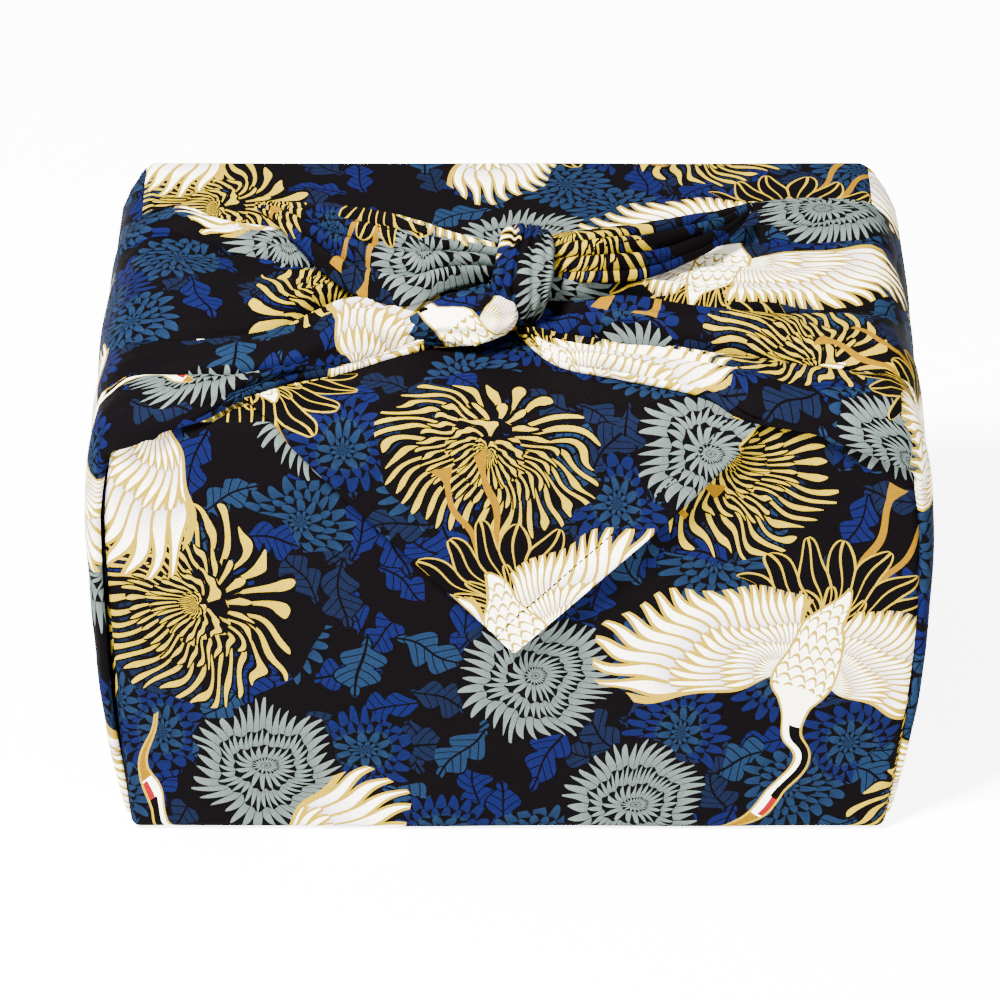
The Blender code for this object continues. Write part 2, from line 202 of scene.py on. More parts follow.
# %% [markdown]
# A fold that isn't a plain wall has to be laid flat by measuring it. That could be left to
# Blender's unwrap, but then the print's scale and direction would drift. Measuring along one
# column, and from it to both sides, keeps them true.

# %% Laying a fold flat
def flat_places(points, first, last, start, middle=None, along=1.0):
    """Flat places for a run of columns: distance along the middle one, and across from it."""
    middle = (first + last) // 2 if middle is None else middle
    travelled, places = 0.0, []
    for i, row in enumerate(points):
        if i:
            travelled += (row[middle] - points[i - 1][middle]).length
        side = [0.0] * (last - first + 1)
        for j in range(middle + 1, last + 1):
            side[j - first] = side[j - first - 1] + (row[j] - row[j - 1]).length
        for j in range(middle - 1, first - 1, -1):
            side[j - first] = side[j - first + 1] - (row[j + 1] - row[j]).length
        places.append([(start[0] + along * travelled, start[1] + across) for across in side])
    return places


# %% [markdown]
# ## The walls
# The part of the square that lies straight on the box: front, back, sides, base and top. It is
# nearly flat, with a faint unevenness where the cloth isn't pulled tight, and it stands off the
# sides near the rear corners, where it is folded round them. Cloth simulation could find such
# slack. A smooth noise and one hump put it where it belongs, and give the same cloth on every run.

# %% Slack in the cloth
WALL_WAVES = (0.00035, 0.055, 0.0)  # height, size and seed of their unevenness
SIDE_SLACK = 0.0052
# where the slack starts, over what length it rises, where it ends and over what length it falls
SLACK_REARWARDS = (-0.02, 0.07, HALF_DEPTH + 0.002, 0.016)
SLACK_UPWARDS = (0.0, 0.11, HEIGHT + 0.001, 0.012)


def unevenness(point, height, size, seed):
    """Soft rise and fall of slack cloth: its height, the size of its waves and where they start."""
    return height * noise.noise(Vector(point) / size + Vector((seed, seed * 1.7, seed * 0.3)))


def rear_slack(point):
    """The cloth folded round the rear corners stands off the sides there."""
    x, y, z = point
    if abs(x) < HALF_WIDTH - TINY:
        return 0.0
    return SIDE_SLACK * hump(y, *SLACK_REARWARDS) * hump(z, *SLACK_UPWARDS)


print("slack half way up the side's rear:", round(rear_slack((HALF_WIDTH, 0.07, 0.08)), 4), "m")

# %% Rows of the walls
WIDE_STEPS, DEEP_STEPS, TALL_STEPS = 46, 34, 30


def corner_spaced(half, steps, radius):
    """Places along an edge of the block from -half to half, close together at its corners."""
    corner = [-half + radius * share for share in (0.0, 0.25, 0.5, 0.75)]
    flat = half - radius
    return corner + spread(-flat, flat, steps) + [-c for c in reversed(corner)]


wide = corner_spaced(HALF_WIDTH, WIDE_STEPS, SIDE_ROUNDING)
deep = corner_spaced(HALF_DEPTH, DEEP_STEPS, SIDE_ROUNDING)
tall = [BASE_ROUNDING * share for share in (0.0, 0.33, 0.66)]
tall += spread(BASE_ROUNDING, HEIGHT - TOP_ROUNDING, TALL_STEPS)
tall += [HEIGHT - TOP_ROUNDING * share for share in (0.75, 0.5, 0.25, 0.0)]
print("rows across, from front to back and up:", len(wide), len(deep), len(tall))

# %% Walls
# flat places: x across the square, and the distance from the flap's point along its diagonal
TOP_AT = FLAP_DROP
BACK_AT = TOP_AT + DEPTH
BASE_AT = BACK_AT + HEIGHT
FRONT_AT = BASE_AT + DEPTH


def wall_grid(name, across, down, place, flat):
    """One face of the block as a fine grid; place and flat read its two directions."""
    points = []
    for v in down:
        row = [place(u, v) for u in across]
        points.append([on_wrap(spot, unevenness(spot, *WALL_WAVES) + rear_slack(spot))
                       for spot in row])
    places = [[flat(u, v) for u in across] for v in down]
    return make_sheet(name, points, [(0, len(across) - 1, places)], thickness=0.0)


walls = [
    wall_grid("front_wall", wide, tall, lambda x, z: (x, -HALF_DEPTH, z),
              lambda x, z: (x, FRONT_AT + z)),
    wall_grid("back_wall", wide, tall, lambda x, z: (-x, HALF_DEPTH, z),
              lambda x, z: (-x, BASE_AT - z)),
    wall_grid("right_wall", deep, tall, lambda y, z: (HALF_WIDTH, y, z),
              lambda y, z: (HALF_WIDTH + z, BASE_AT + HALF_DEPTH - y)),
    wall_grid("left_wall", deep, tall, lambda y, z: (-HALF_WIDTH, -y, z),
              lambda y, z: (-HALF_WIDTH - z, BASE_AT + HALF_DEPTH + y)),
    wall_grid("top_wall", wide, deep, lambda x, y: (x, y, HEIGHT),
              lambda x, y: (x, TOP_AT + HALF_DEPTH + y)),
    wall_grid("base_wall", wide, deep, lambda x, y: (x, -y, 0.0),
              lambda x, y: (x, BASE_AT + HALF_DEPTH + y)),
]

# %% [markdown]
# ## The corner underneath
# The corner nearest to whoever ties the cloth goes over the top first and disappears under the
# other one. It can't be seen, but it is half of the thickness that the top has.

# %% Corner underneath
UNDER_TOP = 0.0012
UNDER_STEPS = 20
UNDER_MARGIN = 0.004
UNDER_SIDE_MARGIN = 0.005
CORNER_LEFT = HALF_DIAGONAL - HALF_DEPTH - HEIGHT  # its reach from the top front edge


def under_corner():
    """The near corner of the square, lying on the box under the top wall."""
    points, places = [], []
    for y in spread(-HALF_DEPTH + UNDER_MARGIN, HALF_DEPTH - UNDER_MARGIN, UNDER_STEPS):
        half = min(HALF_WIDTH - UNDER_SIDE_MARGIN, CORNER_LEFT - HALF_DEPTH - y)
        row = [(half * share, y, HEIGHT) for share in spread(-1.0, 1.0, UNDER_STEPS)]
        points.append([on_wrap(point, -UNDER_TOP) for point in row])
        places.append([(x, FRONT_AT + HEIGHT + HALF_DEPTH + y) for x, y, z in row])
    return make_sheet("under_corner", points, [(0, UNDER_STEPS, places)])


corner = under_corner()

# %% [markdown]
# ## The pointed flap
# The far corner of the square comes over the top and hangs on the front. Its two edges are the
# square's own edges. The right one carries a hem: a narrow fold, a little thicker than the cloth,
# with a line of stitches. The left one is the woven edge, which needs none. A plane could be bent
# over the edge of the box. A grid that is narrowed towards its point keeps its rows along the
# cloth, and one sum of lifts gives it the hem's step and edges that stand off a little and cast a
# shadow.

# %% Flap
FLAP_ROWS, FLAP_COLUMNS = 84, 56
FLAP_START = -0.012
FLAP_ROOT = 0.02  # it rises out of the top over this length
FLAP_POINT = 0.0006  # the last row stops this short of the point
FLAP_LEFT_SHARE = 0.93
FLAP_MAX_HALF = 0.112
FLAP_CROWDING = 0.85
FLAP_LIFT = 0.0010
FLAP_EDGE_LIFT = 0.0019
FLAP_EDGE_WIDTH = 0.006
FLAP_WAVES = (0.0004, 0.03, 3.0)
HEM_WIDTH = 0.0085
HEM_RISE = 0.0006
HEM_STEP = 0.0008


def over_front_edge(x, reach):
    """A point of the plain block reached by going forwards on the top and down the front."""
    if reach > -HALF_DEPTH:
        return x, reach, HEIGHT
    return x, -HALF_DEPTH, HEIGHT + HALF_DEPTH + reach


def flap_lift(to_edge, near_side):
    """How far the flap stands off the top and front, without its unevenness."""
    hem_rise = HEM_RISE * ease((HEM_WIDTH - to_edge) / HEM_STEP)
    return FLAP_LIFT + FABRIC + hem_rise + FLAP_EDGE_LIFT * math.exp(-near_side / FLAP_EDGE_WIDTH)


def flap():
    """The pointed flap, hemmed along its right edge."""
    tip = -HALF_DEPTH - FLAP_DROP
    points, places, hem = [], [], []
    for reach in spread(FLAP_START, tip + FLAP_POINT, FLAP_ROWS):
        half = min(reach - tip, FLAP_MAX_HALF)
        root = ease((FLAP_START - reach) / FLAP_ROOT)
        row, flat, edge = [], [], []
        for share in spread(-1.0, 1.0, FLAP_COLUMNS):
            x = half * math.copysign(abs(share) ** FLAP_CROWDING, share)
            to_edge = max(0.0, (reach - tip - x) / math.sqrt(2))
            edge.append((to_edge, (reach - tip + x) / math.sqrt(2)))
            x *= FLAP_LEFT_SHARE if x < 0.0 else 1.0
            near_side = max(0.0, (reach - tip - abs(x)) / math.sqrt(2))
            spot = over_front_edge(x, reach)
            lift = flap_lift(to_edge, near_side) * root + unevenness(spot, *FLAP_WAVES)
            row.append(on_wrap(spot, lift))
            flat.append((x, TOP_AT + HALF_DEPTH + reach))
        points.append(row)
        places.append(flat)
        hem.append(edge)
    return make_sheet("front_flap", points, [(0, FLAP_COLUMNS, places)], hem)


front_flap = flap()

# %% [markdown]
# ## The two tails
# Each side corner comes up over the side, is gathered into four pleats and runs to the knot. The
# folds could come from a cloth simulation of the tying, but they would fall where they liked. Here
# a table holds where the five folds lie at each distance from the middle, and how far each pleat
# swells, and between its rows the folds run on smooth curves.

# %% Tables of the tails, in millimetres
PLEATS = 4  # between five folds
Tail = namedtuple("Tail", "reach folds lifts puffs")
RIGHT_TAIL = [Tail(*metres(row)) for row in (
    (3, (-16, -21, -30, -37, -42), (12, 18, 16, 8, 3), (2, 3, 3, 2)),
    (16, (-10, -18, -33, -42, -61), (6, 14, 12, 2, 0), (3, 6, 4, 3)),
    (37, (8, -8, -31, -46, -70.5), (2, 7, 8, 1, 0), (3, 5, 6, 3)),
    (60, (27, 9, -32, -51, -80), (0.5, 2, 4, 0, 0), (2, 4, 6, 3)),
    (80, (46, 20, -32, -57, -93.5), (0, 1, 2, 0, 0), (1.5, 3.5, 5, 3)),
    (105, (52, 22, -29, -63, -99), (0, 0, 1, 0, -1), (1, 2, 3, 2)),
    (130, (53, 26, -24, -66, -112), (-1.8,) * 5, (1, 1.8, 2.2, 1.5)))]
LEFT_TAIL = [Tail(*metres(row)) for row in (
    (-3, (-16, -21, -30, -37, -42), (12, 18, 16, 8, 3), (2, 3, 3, 2)),
    (12, (-10, -18, -28, -38, -45), (4, 10, 11, 5, 1), (2, 3, 3, 1)),
    (35, (6, -6, -22, -50, -52.5), (1, 3, 4, 1, 0), (2, 3, 6, 1)),
    (55, (20, 2, -17, -62.5, -65), (0, 1, 1, 1, 0), (2, 2.5, 7, 1)),
    (75, (28, 6, -38, -69, -74.5), (0, 0, 0.5, 1, 0), (3, 2.5, 4, 2)),
    (100, (36, 19, -44, -70, -92), (0, 0, 0, 0, -1), (2, 3, 2, 2)),
    (115, (49, 30, -44, -69, -98), (-1,) * 5, (2, 3, 1, 1)),
    (130, (44, 26, -44, -70, -106), (-1.8,) * 5, (1, 2, 1, 1)))]
# below a tail: heights and depths of the panel's two edges, its fulness and how far it falls free
Side = namedtuple("Side", "rear_z front_z rear_y front_y puff fall")
SIDE_PANEL = [Side(*metres(places), puff, fall) for places, puff, fall in (
    ((140, 128, 56, -93), 0.80, 1.00),
    ((115, 104, 61, -92.5), 0.45, 1.00),
    ((80, 72, 67, -91.5), 0.15, 0.95),
    ((44, 40, 75, -90), 0.00, 0.80),
    ((14, 14, 82, -88.5), 0.00, 0.30),
    ((4.5, 4.5, 84, -88), 0.00, 0.00))]
print("rows of the right tail, the left tail and a side:", len(RIGHT_TAIL), len(LEFT_TAIL),
      len(SIDE_PANEL))

# %% [markdown]
# ## One pleat
# A pleat is cloth that doubles back on itself. It could be folded face by face. A rounded profile
# between two narrow valleys looks the same from outside: it rises gently from its rear fold, falls
# steeply at the front, and rolls a little over the next pleat, which gives the dark line under it.

# %% Profile of a pleat
PLEAT_COLUMNS = 22
PLEAT_CROWDING = 0.10
PLEAT_SKEW = 1.5
PUFF_GAINS = (1.2, 1.05, 1.45, 1.6)  # how much fuller each pleat is near the knot
PUFF_FADE = 0.055
FULL_PUFF = 0.0035
OVERHANG = 0.0046
OVERHANG_SKEW = 3.4
LAST_OVERHANG = 0.3  # the last pleat lies almost flat
# how deep and how wide the crease at each fold is, in millimetres, on the right (1) and left (-1)
VALLEYS = {1: metres(((0, 2), (4.0, 2.2), (6.6, 3.0), (8.5, 3.8), (0, 2))),
           -1: metres(((0, 2), (5.6, 2.6), (7.8, 3.6), (4.4, 2.2), (0, 2)))}


def pleat_place(column):
    """The pleat of a column and its share across it; columns crowd together at the folds."""
    pleat = min(column // PLEAT_COLUMNS, PLEATS - 1)
    step = column / PLEAT_COLUMNS - pleat
    return pleat, step - PLEAT_CROWDING * math.sin(2.0 * math.pi * step)


def pleat_shape(share):
    """Height across one pleat, from its rear fold, 0, to its front one, 1."""
    return math.sin(math.pi * share ** PLEAT_SKEW)


def valley(side, pleat, share, width):
    """How deep a point lies in the narrow creases at both folds of its pleat."""
    (rear_depth, rear_width), (front_depth, front_width) = VALLEYS[side][pleat:pleat + 2]
    return (rear_depth * dent(share * width, rear_width)
            + front_depth * dent((1.0 - share) * width, front_width))


print("height of a pleat in quarters:", [round(pleat_shape(s), 2) for s in spread(0.0, 1.0, 4)])

# %% Rows of the tails
TAIL_LIFT = 0.0048  # outer face of the tails over the walls
LOWEST_LIFT = 0.0009
PANEL_LIFT = 0.0009
PANEL_FALL = {1: 0.0017, -1: 0.0039}  # the left side's cloth hangs slacker


def tail_station(row, side):
    """One row of a tail across its four pleats: points of the block and their lifts."""
    fade = ease((HALF_WIDTH + 0.004 - row.reach) / PUFF_FADE)
    station = []
    for column in range(PLEATS * PLEAT_COLUMNS + 1):
        pleat, share = pleat_place(column)
        puff = row.puffs[pleat]
        rear, front = row.folds[pleat:pleat + 2]
        rear_lift, front_lift = row.lifts[pleat:pleat + 2]
        gain = 1.0 + (PUFF_GAINS[pleat] - 1.0) * fade
        lift = rear_lift + (front_lift - rear_lift) * share + puff * gain * pleat_shape(share)
        lift -= valley(side, pleat, share, rear - front) * fade
        roll = OVERHANG * min(1.0, puff / FULL_PUFF) * math.sin(math.pi * share ** OVERHANG_SKEW)
        roll *= fade * (LAST_OVERHANG if pleat == PLEATS - 1 else 1.0)
        spot = over_front_edge(side * row.reach, rear - (rear - front) * share - roll)
        station.append((spot, max(lift + TAIL_LIFT, LOWEST_LIFT)))
    return station


def panel_station(row, edge, side):
    """One row of the side panel below a tail, whose last row is edge."""
    last = PLEATS * PLEAT_COLUMNS
    station = []
    for column in range(last + 1):
        pleat, step = pleat_place(column)
        rear, front = edge.folds[pleat:pleat + 2]
        y = max(rear + (front - rear) * step, -HALF_DEPTH)
        top_share = (y - edge.folds[0]) / (-HALF_DEPTH - edge.folds[0])
        share = 0.5 * top_share + 0.5 * column / last
        y = row.rear_y + (row.front_y - row.rear_y) * share
        z = row.rear_z + (row.front_z - row.rear_z) * share * share
        lift = PANEL_LIFT + PANEL_FALL[side] * row.fall
        lift += edge.puffs[pleat] * pleat_shape(step) * row.puff
        station.append(((side * HALF_WIDTH, y, z), lift))
    return station


print("points across a tail:", len(tail_station(RIGHT_TAIL[0], 1)))


# %% [markdown]
# ## Smooth rows between the table's rows
# A Subdivision Surface would smooth the folds too, but it would also draw them in. A Catmull-Rom
# curve passes through every row of the table, so each fold stays where the table puts it.

# %% Smooth rows
def between(knots, t):
    """The point and lift at share t between the two middle knots of a Catmull-Rom curve."""
    values = [(*point, lift) for point, lift in knots]
    weights = (0.5 * (-t + 2 * t * t - t ** 3), 0.5 * (2 - 5 * t * t + 3 * t ** 3),
               0.5 * (t + 4 * t * t - 3 * t ** 3), 0.5 * (-t * t + t ** 3))
    mixed = [sum(w * value[k] for w, value in zip(weights, values)) for k in range(4)]
    return tuple(mixed[:3]), mixed[3]


def refine(stations, steps):
    """Smooth rows between stations."""
    rows, last = [], len(stations) - 1
    for i in range(last):
        four = [stations[limited(k, 0, last)] for k in (i - 1, i, i + 1, i + 2)]
        for step in range(steps):
            rows.append([between(knots, step / steps) for knots in zip(*four)])
    rows.append(stations[-1])
    return rows


# %% [markdown]
# ## Creases
# Cloth that is pulled into a knot creases in lines that run to it. Sharp lines come from a table of
# strokes, each sunk along its length like a thumbnail mark. Softer wrinkles come from a noise drawn
# out along the tail, and fine gathers from two waves, strongest at the knot.

# %% Strokes of the creases, in millimetres from the middle of the top
Crease = namedtuple("Crease", "x0 y0 x1 y1 depth width")
CREASES = [Crease(*metres(row)) for row in (
    # right tail, from the knot outwards
    (14, -40, 74, -47.5, 5.0, 1.3), (14, -26, 70, -18, 3.4, 1.7), (18, -45, 60, -64, 3.0, 1.5),
    (16, -46, 56, -57, 3.0, 1.5), (14, -50, 46, -68, 2.0, 1.4), (12, -16, 54, 6, 3.0, 1.7),
    (22, -54, 86, -80, 1.6, 2.0), (62, -4, 125, 2, 1.8, 2.8), (74, 30, 128, 38, 1.8, 3.0),
    (66, -20, 112, -16, 1.6, 2.4), (70, -52, 118, -62, 1.4, 2.8),
    # left tail
    (-14, -33, -66, -47, 5.0, 1.4), (-12, -24, -52, -14, 3.0, 1.5), (-14, -36, -60, -40, 3.0, 1.5),
    (-14, -42, -50, -48, 2.6, 1.4), (-12, -18, -64, -4, 3.0, 1.8), (-40, -26, -96, -38, 2.2, 2.4),
    (-56, -50, -106, -58, 1.8, 2.4), (-70, 16, -124, 8, 2.0, 3.0),
    (-82, 32, -128, 26, 1.6, 3.0))]
print("creases:", len(CREASES))

# %% Creases, wrinkles and gathers
CREASE_END = 0.4  # a crease runs out over this share of its length
CREASE_SPREAD = 3.0  # widths from its line at which it has faded
WRINKLE_LEAST, WRINKLE_MORE = 0.0010, 0.0058  # heights everywhere, and added near the knot
WRINKLE_REACH, WRINKLE_FADE = 0.118, 0.09
WRINKLE_LENGTH = 0.055
WRINKLE_NARROW = 0.46  # waves to a column
WRINKLE_MIDDLE = 0.22
WRINKLE_SEED = 7.0
GATHER_DEPTH = 0.0014
GATHER_REACH, GATHER_FADE = 0.075, 0.06
GATHER_WAVES = ((1.0, 0.34, 0.0), (0.6, 0.19, 1.0))  # height, radians to a column, and start


def crease_depth(x, y):
    """How far the creases sink a point of the tails, seen from above."""
    total = 0.0
    for crease in CREASES:
        run = Vector((crease.x1 - crease.x0, crease.y1 - crease.y0))
        to_point = Vector((x - crease.x0, y - crease.y0))
        share = limited(to_point.dot(run) / run.length_squared, 0.0, 1.0)
        away = (to_point - run * share).length
        if away < crease.width * CREASE_SPREAD:
            fade = min(1.0, (1.0 - share) / CREASE_END)
            total += crease.depth * fade * dent(away, crease.width)
    return total


def wrinkle(x, column, side):
    """Rounded ripples with sharp valleys that run out from the knot and die away."""
    height = WRINKLE_LEAST + WRINKLE_MORE * ease((WRINKLE_REACH - abs(x)) / WRINKLE_FADE)
    place = Vector((x / WRINKLE_LENGTH, column * WRINKLE_NARROW, WRINKLE_SEED * side))
    return height * (abs(noise.noise(place)) - WRINKLE_MIDDLE)


def gather(x, column):
    """Fine gathers close to the knot, running along the tail."""
    wave = sum(height * abs(math.sin(column * turn + start))
               for height, turn, start in GATHER_WAVES)
    return -GATHER_DEPTH * ease((GATHER_REACH - abs(x)) / GATHER_FADE) * wave


print("creases 30 mm to the right are", round(crease_depth(0.030, -0.042), 4), "m deep")

# %% [markdown]
# ## Rolled edges
# The edge of a tail isn't cut: the cloth turns back under itself there. A Bevel would only round
# the corner. A few extra points carried round half a circle, and then tucked in, close the gap
# under it.

# %% Rolled edges
ROLL_STEPS = 6
ROLL_TUCK = 0.006
REAR_ROLL, FRONT_ROLL = 0.0011, 0.0012


def shifted(point, forwards):
    """Move a point of the block towards the rear (+) or the front (-) over the block's face."""
    x, y, z = point
    if z >= HEIGHT - TINY:
        return over_front_edge(x, y + forwards)
    if abs(y + HALF_DEPTH) < TINY and abs(x) < HALF_WIDTH - TINY:
        return over_front_edge(x, -HALF_DEPTH - (HEIGHT - z) + forwards)
    return x, y + forwards, z


def rolled_under(point, lift, outwards, radius):
    """Points that turn the edge of a tail back under itself."""
    turned = []
    for angle in spread(0.0, math.pi, ROLL_STEPS)[1:]:
        spot = shifted(point, outwards * radius * math.sin(angle))
        turned.append(on_wrap(spot, lift - radius * (1.0 - math.cos(angle))))
    return turned + [on_wrap(shifted(point, -outwards * ROLL_TUCK), lift - radius * 2.0)]


# %% Tails
STATION_ROWS = 7  # smooth rows to each row of the tables
WRINKLE_LEAN = -0.9  # a raised wrinkle also leans forwards
TAIL_WAVES, TAIL_SEED = (0.0007, 0.022), 7.0  # height and size, and a seed turned round on the left
TAIL_FLAT_START = (0.40, BASE_AT - 0.03)
PLEAT_FLAT_STEP = 0.052  # the print jumps on from pleat to pleat


def creased(point, lift, column, side):
    """The finished place of one point of a tail."""
    x, y, z = point
    if z >= HEIGHT - TINY or abs(y + HALF_DEPTH) < TINY:
        fold = wrinkle(x, column, side)
        lift += fold - crease_depth(x, y) + gather(x, column)
        point = shifted(point, WRINKLE_LEAN * fold)
    lift += unevenness(point, *TAIL_WAVES, TAIL_SEED * side)
    return on_wrap(point, max(lift, LOWEST_LIFT))


def pleat_strips(points, side):
    """Each pleat's columns with their flat places; the outer pleats take the rolled edges too."""
    margin, strips = ROLL_STEPS + 1, []
    for pleat in range(PLEATS):
        first = margin + pleat * PLEAT_COLUMNS
        last, middle = first + PLEAT_COLUMNS, first + PLEAT_COLUMNS // 2
        first = 0 if pleat == 0 else first
        last = len(points[0]) - 1 if pleat == PLEATS - 1 else last
        start = (side * TAIL_FLAT_START[0], TAIL_FLAT_START[1] + pleat * PLEAT_FLAT_STEP)
        strips.append((first, last, flat_places(points, first, last, start, middle, -side)))
    return strips


def make_tail(name, table, side):
    """A tail and its side panel, with rolled edges and creases, the print laid along each pleat."""
    stations = [tail_station(row, side) for row in table]
    stations += [panel_station(row, table[-1], side) for row in SIDE_PANEL]
    points = []
    for row in refine(stations, STATION_ROWS):
        line = rolled_under(*row[0], 1.0, REAR_ROLL)[::-1]
        line += [creased(*spot, column, side) for column, spot in enumerate(row)]
        points.append(line + rolled_under(*row[-1], -1.0, FRONT_ROLL))
    strips = pleat_strips(points, side)
    if side > 0:
        points = points[::-1]
        strips = [(first, last, places[::-1]) for first, last, places in strips]
    return make_sheet(name, points, strips)


right_tail = make_tail("right_tail", RIGHT_TAIL, 1)
left_tail = make_tail("left_tail", LEFT_TAIL, -1)

# %% [markdown]
# ## The free ends
# The two corners that stick out of the knot are like broad leaves: full in the middle, drawn in at
# the knot and pointed at the tip, with the hem along one edge. A leaf could be cut from a plane and
# bent. A table of cross-sections along it is easier to shape, as a boat is built on its ribs.

# %% Tables of the free ends, in millimetres and degrees
End = namedtuple("End", "x y z half_width swell tilt")
LEFT_END = [End(*metres(sizes), math.radians(tilt)) for sizes, tilt in (
    ((2, -24, 173.5, 6, 3), 40),
    ((-9, -25, 175, 7, 4), 40),
    ((-21, -26, 175.5, 10.5, 4.5), 38),
    ((-31, -25, 174, 15.5, 4.5), 35),
    ((-41, -17, 171.5, 17, 4.5), 31),
    ((-52, -6, 169, 16.5, 4), 27),
    ((-65, 11.5, 166, 11.5, 3), 22),
    ((-76, 29, 164, 5, 1.5), 16),
    ((-84, 36, 163, 1.2, 0.3), 14))]
RIGHT_END = [End(*metres(sizes), math.radians(tilt)) for sizes, tilt in (
    ((4, -24, 173.5, 6.5, 3), 42),
    ((17, -24, 175.5, 8, 4), 40),
    ((30, -21, 174.5, 9.2, 4.5), 36),
    ((46, -11.5, 171.5, 10, 3.5), 32),
    ((62, 4, 168.5, 8.2, 2.5), 28),
    ((72, 16, 166.5, 6, 1.5), 24),
    ((78, 27, 165, 3.5, 0.8), 20),
    ((81, 33, 164.5, 1.2, 0.3), 18))]
print("the left end reaches", LEFT_END[-1].x, "m and the right one", RIGHT_END[-1].x, "m")

# %% Free ends
END_COLUMNS = 36
END_ROWS = 9
END_FULNESS = 1.35
END_STAND = 0.0016
END_WAVES = (0.0006, 0.009, 11.0)
END_LIFT = Vector((0.0, -0.0054, 0.0033))  # lets the ends lie on the full folds of the tails
END_RESTS_FROM = 0.030
END_NARROW = 0.008  # creases are shallower where it is narrower than this


def make_end(name, table, start, folds):
    """A leaf-shaped end of cloth; folds are (share across, depth, width) of its long creases."""
    stations = [[(row[:3], value) for value in row[3:]] for row in table]
    shares = spread(-1.0, 1.0, END_COLUMNS)
    points, hem, along_edge = [], [], 0.0
    for row in refine(stations, END_ROWS):
        middle = Vector(row[0][0])
        middle += SHIFT + END_LIFT * ease(abs(middle.x) / END_RESTS_FROM)
        half, puff, tilt = (value for _, value in row)
        out = Vector((0.0, math.cos(tilt), math.sin(tilt)))
        up = Vector((0.0, -math.sin(tilt), math.cos(tilt)))
        line = []
        for share in shares:
            place = middle + out * half * share
            rise = END_FULNESS * puff * (1 - share * share) + END_STAND
            for fold, depth, width in folds:
                rise -= depth * min(1.0, half / END_NARROW) * dent(share - fold, width)
            line.append(place + up * (rise + unevenness(place, *END_WAVES)))
        if points:
            along_edge += (line[-1] - points[-1][-1]).length
        points.append(line)
        hem.append([(half * (1.0 - share) if share > 0 else FAR_FROM_HEM, along_edge)
                    for share in shares])
    places = flat_places(points, 0, END_COLUMNS, start)
    if table[0].x > table[-1].x:
        points, places, hem = points[::-1], places[::-1], hem[::-1]
    return make_sheet(name, points, [(0, END_COLUMNS, places)], hem, FABRIC * 2)


left_end = make_end("left_end", LEFT_END, (0.10, 0.30),
                    ((0.20, 0.0042, 0.15), (-0.38, 0.0030, 0.11), (0.66, 0.0022, 0.10)))
right_end = make_end("right_end", RIGHT_END, (-0.12, 0.22),
                     ((-0.15, 0.0034, 0.15), (0.45, 0.0022, 0.12), (-0.68, 0.0016, 0.09)))

# %% [markdown]
# ## The knot
# One tail passes over and under the other, so a tight band of cloth runs round both and a lower
# loop comes out to the left. A knot could be tied by simulation, which is slow and hard to steer.
# Only its outside shows, so the band is a strip swept round the knot and the loop a closed lobe
# beside it, both with long creases where the cloth is crushed.

# %% Knot band
KNOT_CENTRE = Vector((0.0035, -0.0290, 0.1725)) + SHIFT
BAND_STEPS, BAND_COLUMNS = 80, 34
BAND_Y = 0.0185
BAND_Z = 0.0168
BAND_HALF = 0.0094
BAND_NARROWEST, BAND_WIDENING = 0.72, 0.34  # shares of BAND_HALF at the back, and added in front
BAND_WIDEST = 0.35  # radians from the front upwards
BAND_LEAN = 0.0026
BAND_BULGE = 0.0046
BAND_SQUARENESS = 2.6  # 2 would be an ellipse across it, and more is flatter
BAND_FOLD_WIDTH = 0.085
BAND_WAVES = (0.0012, 0.007, 5.0)
# where each crease lies across the band, how far it swings from side to side, and its depth
BAND_FOLDS = ((-0.52, 0.10, 0.0013), (-0.12, 0.16, 0.0019), (0.34, 0.12, 0.0015),
              (0.70, 0.06, 0.0010))


def band_relief(share, angle):
    """How far a point of the band stands out, from its edges, creases and unevenness."""
    bulge = (1.0 - abs(share) ** BAND_SQUARENESS) ** 0.5 if abs(share) < 1 else 0.0
    out = -BAND_BULGE * (1.0 - bulge)
    for fold, swing, depth in BAND_FOLDS:
        middle = fold + swing * math.sin(angle * 2.0 + fold * 3.0)
        out -= depth * dent(share - middle, BAND_FOLD_WIDTH)
    place = (share * 0.01, math.cos(angle) * 0.02, math.sin(angle) * 0.02)
    return out + unevenness(place, *BAND_WAVES)


def knot_band():
    """The band round the knot, wide at the front and narrow where it goes under."""
    points = []
    for angle in spread(0.0, 2 * math.pi, BAND_STEPS):
        front = 0.5 - 0.5 * math.cos(angle + BAND_WIDEST)
        half = BAND_HALF * (BAND_NARROWEST + BAND_WIDENING * front)
        row = []
        for share in spread(-1.0, 1.0, BAND_COLUMNS):
            out = band_relief(share, angle)
            row.append(KNOT_CENTRE + Vector((share * half + BAND_LEAN * math.sin(angle),
                                             math.cos(angle) * (BAND_Y + out),
                                             math.sin(angle) * (BAND_Z + out))))
        points.append(row)
    places = flat_places(points, 0, BAND_COLUMNS, (0.02, 0.05))
    return make_sheet("knot_band", points[::-1], [(0, BAND_COLUMNS, places[::-1])])


band = knot_band()

# %% Knot lobe
LOBE_CENTRE = Vector((-0.0163, -0.0452, 0.1652)) + SHIFT
LOBE_RINGS, LOBE_COLUMNS = 36, 64
LOBE_RADII = Vector((0.0200, 0.0120, 0.0088))
LOBE_TURN = math.radians(11)
LOBE_TAPER = 0.35
LOBE_GIRTH = 1.04
POLE_GAP = 0.15  # of a ring: the first and last rings stay this far off the poles
# two sets of creases: depth, half the number of creases round it, their twist, and their roundness
LOBE_CREASES = ((0.16, 2.5, 1.4, 0.7), (0.09, 4.5, -2.2, 1.0))


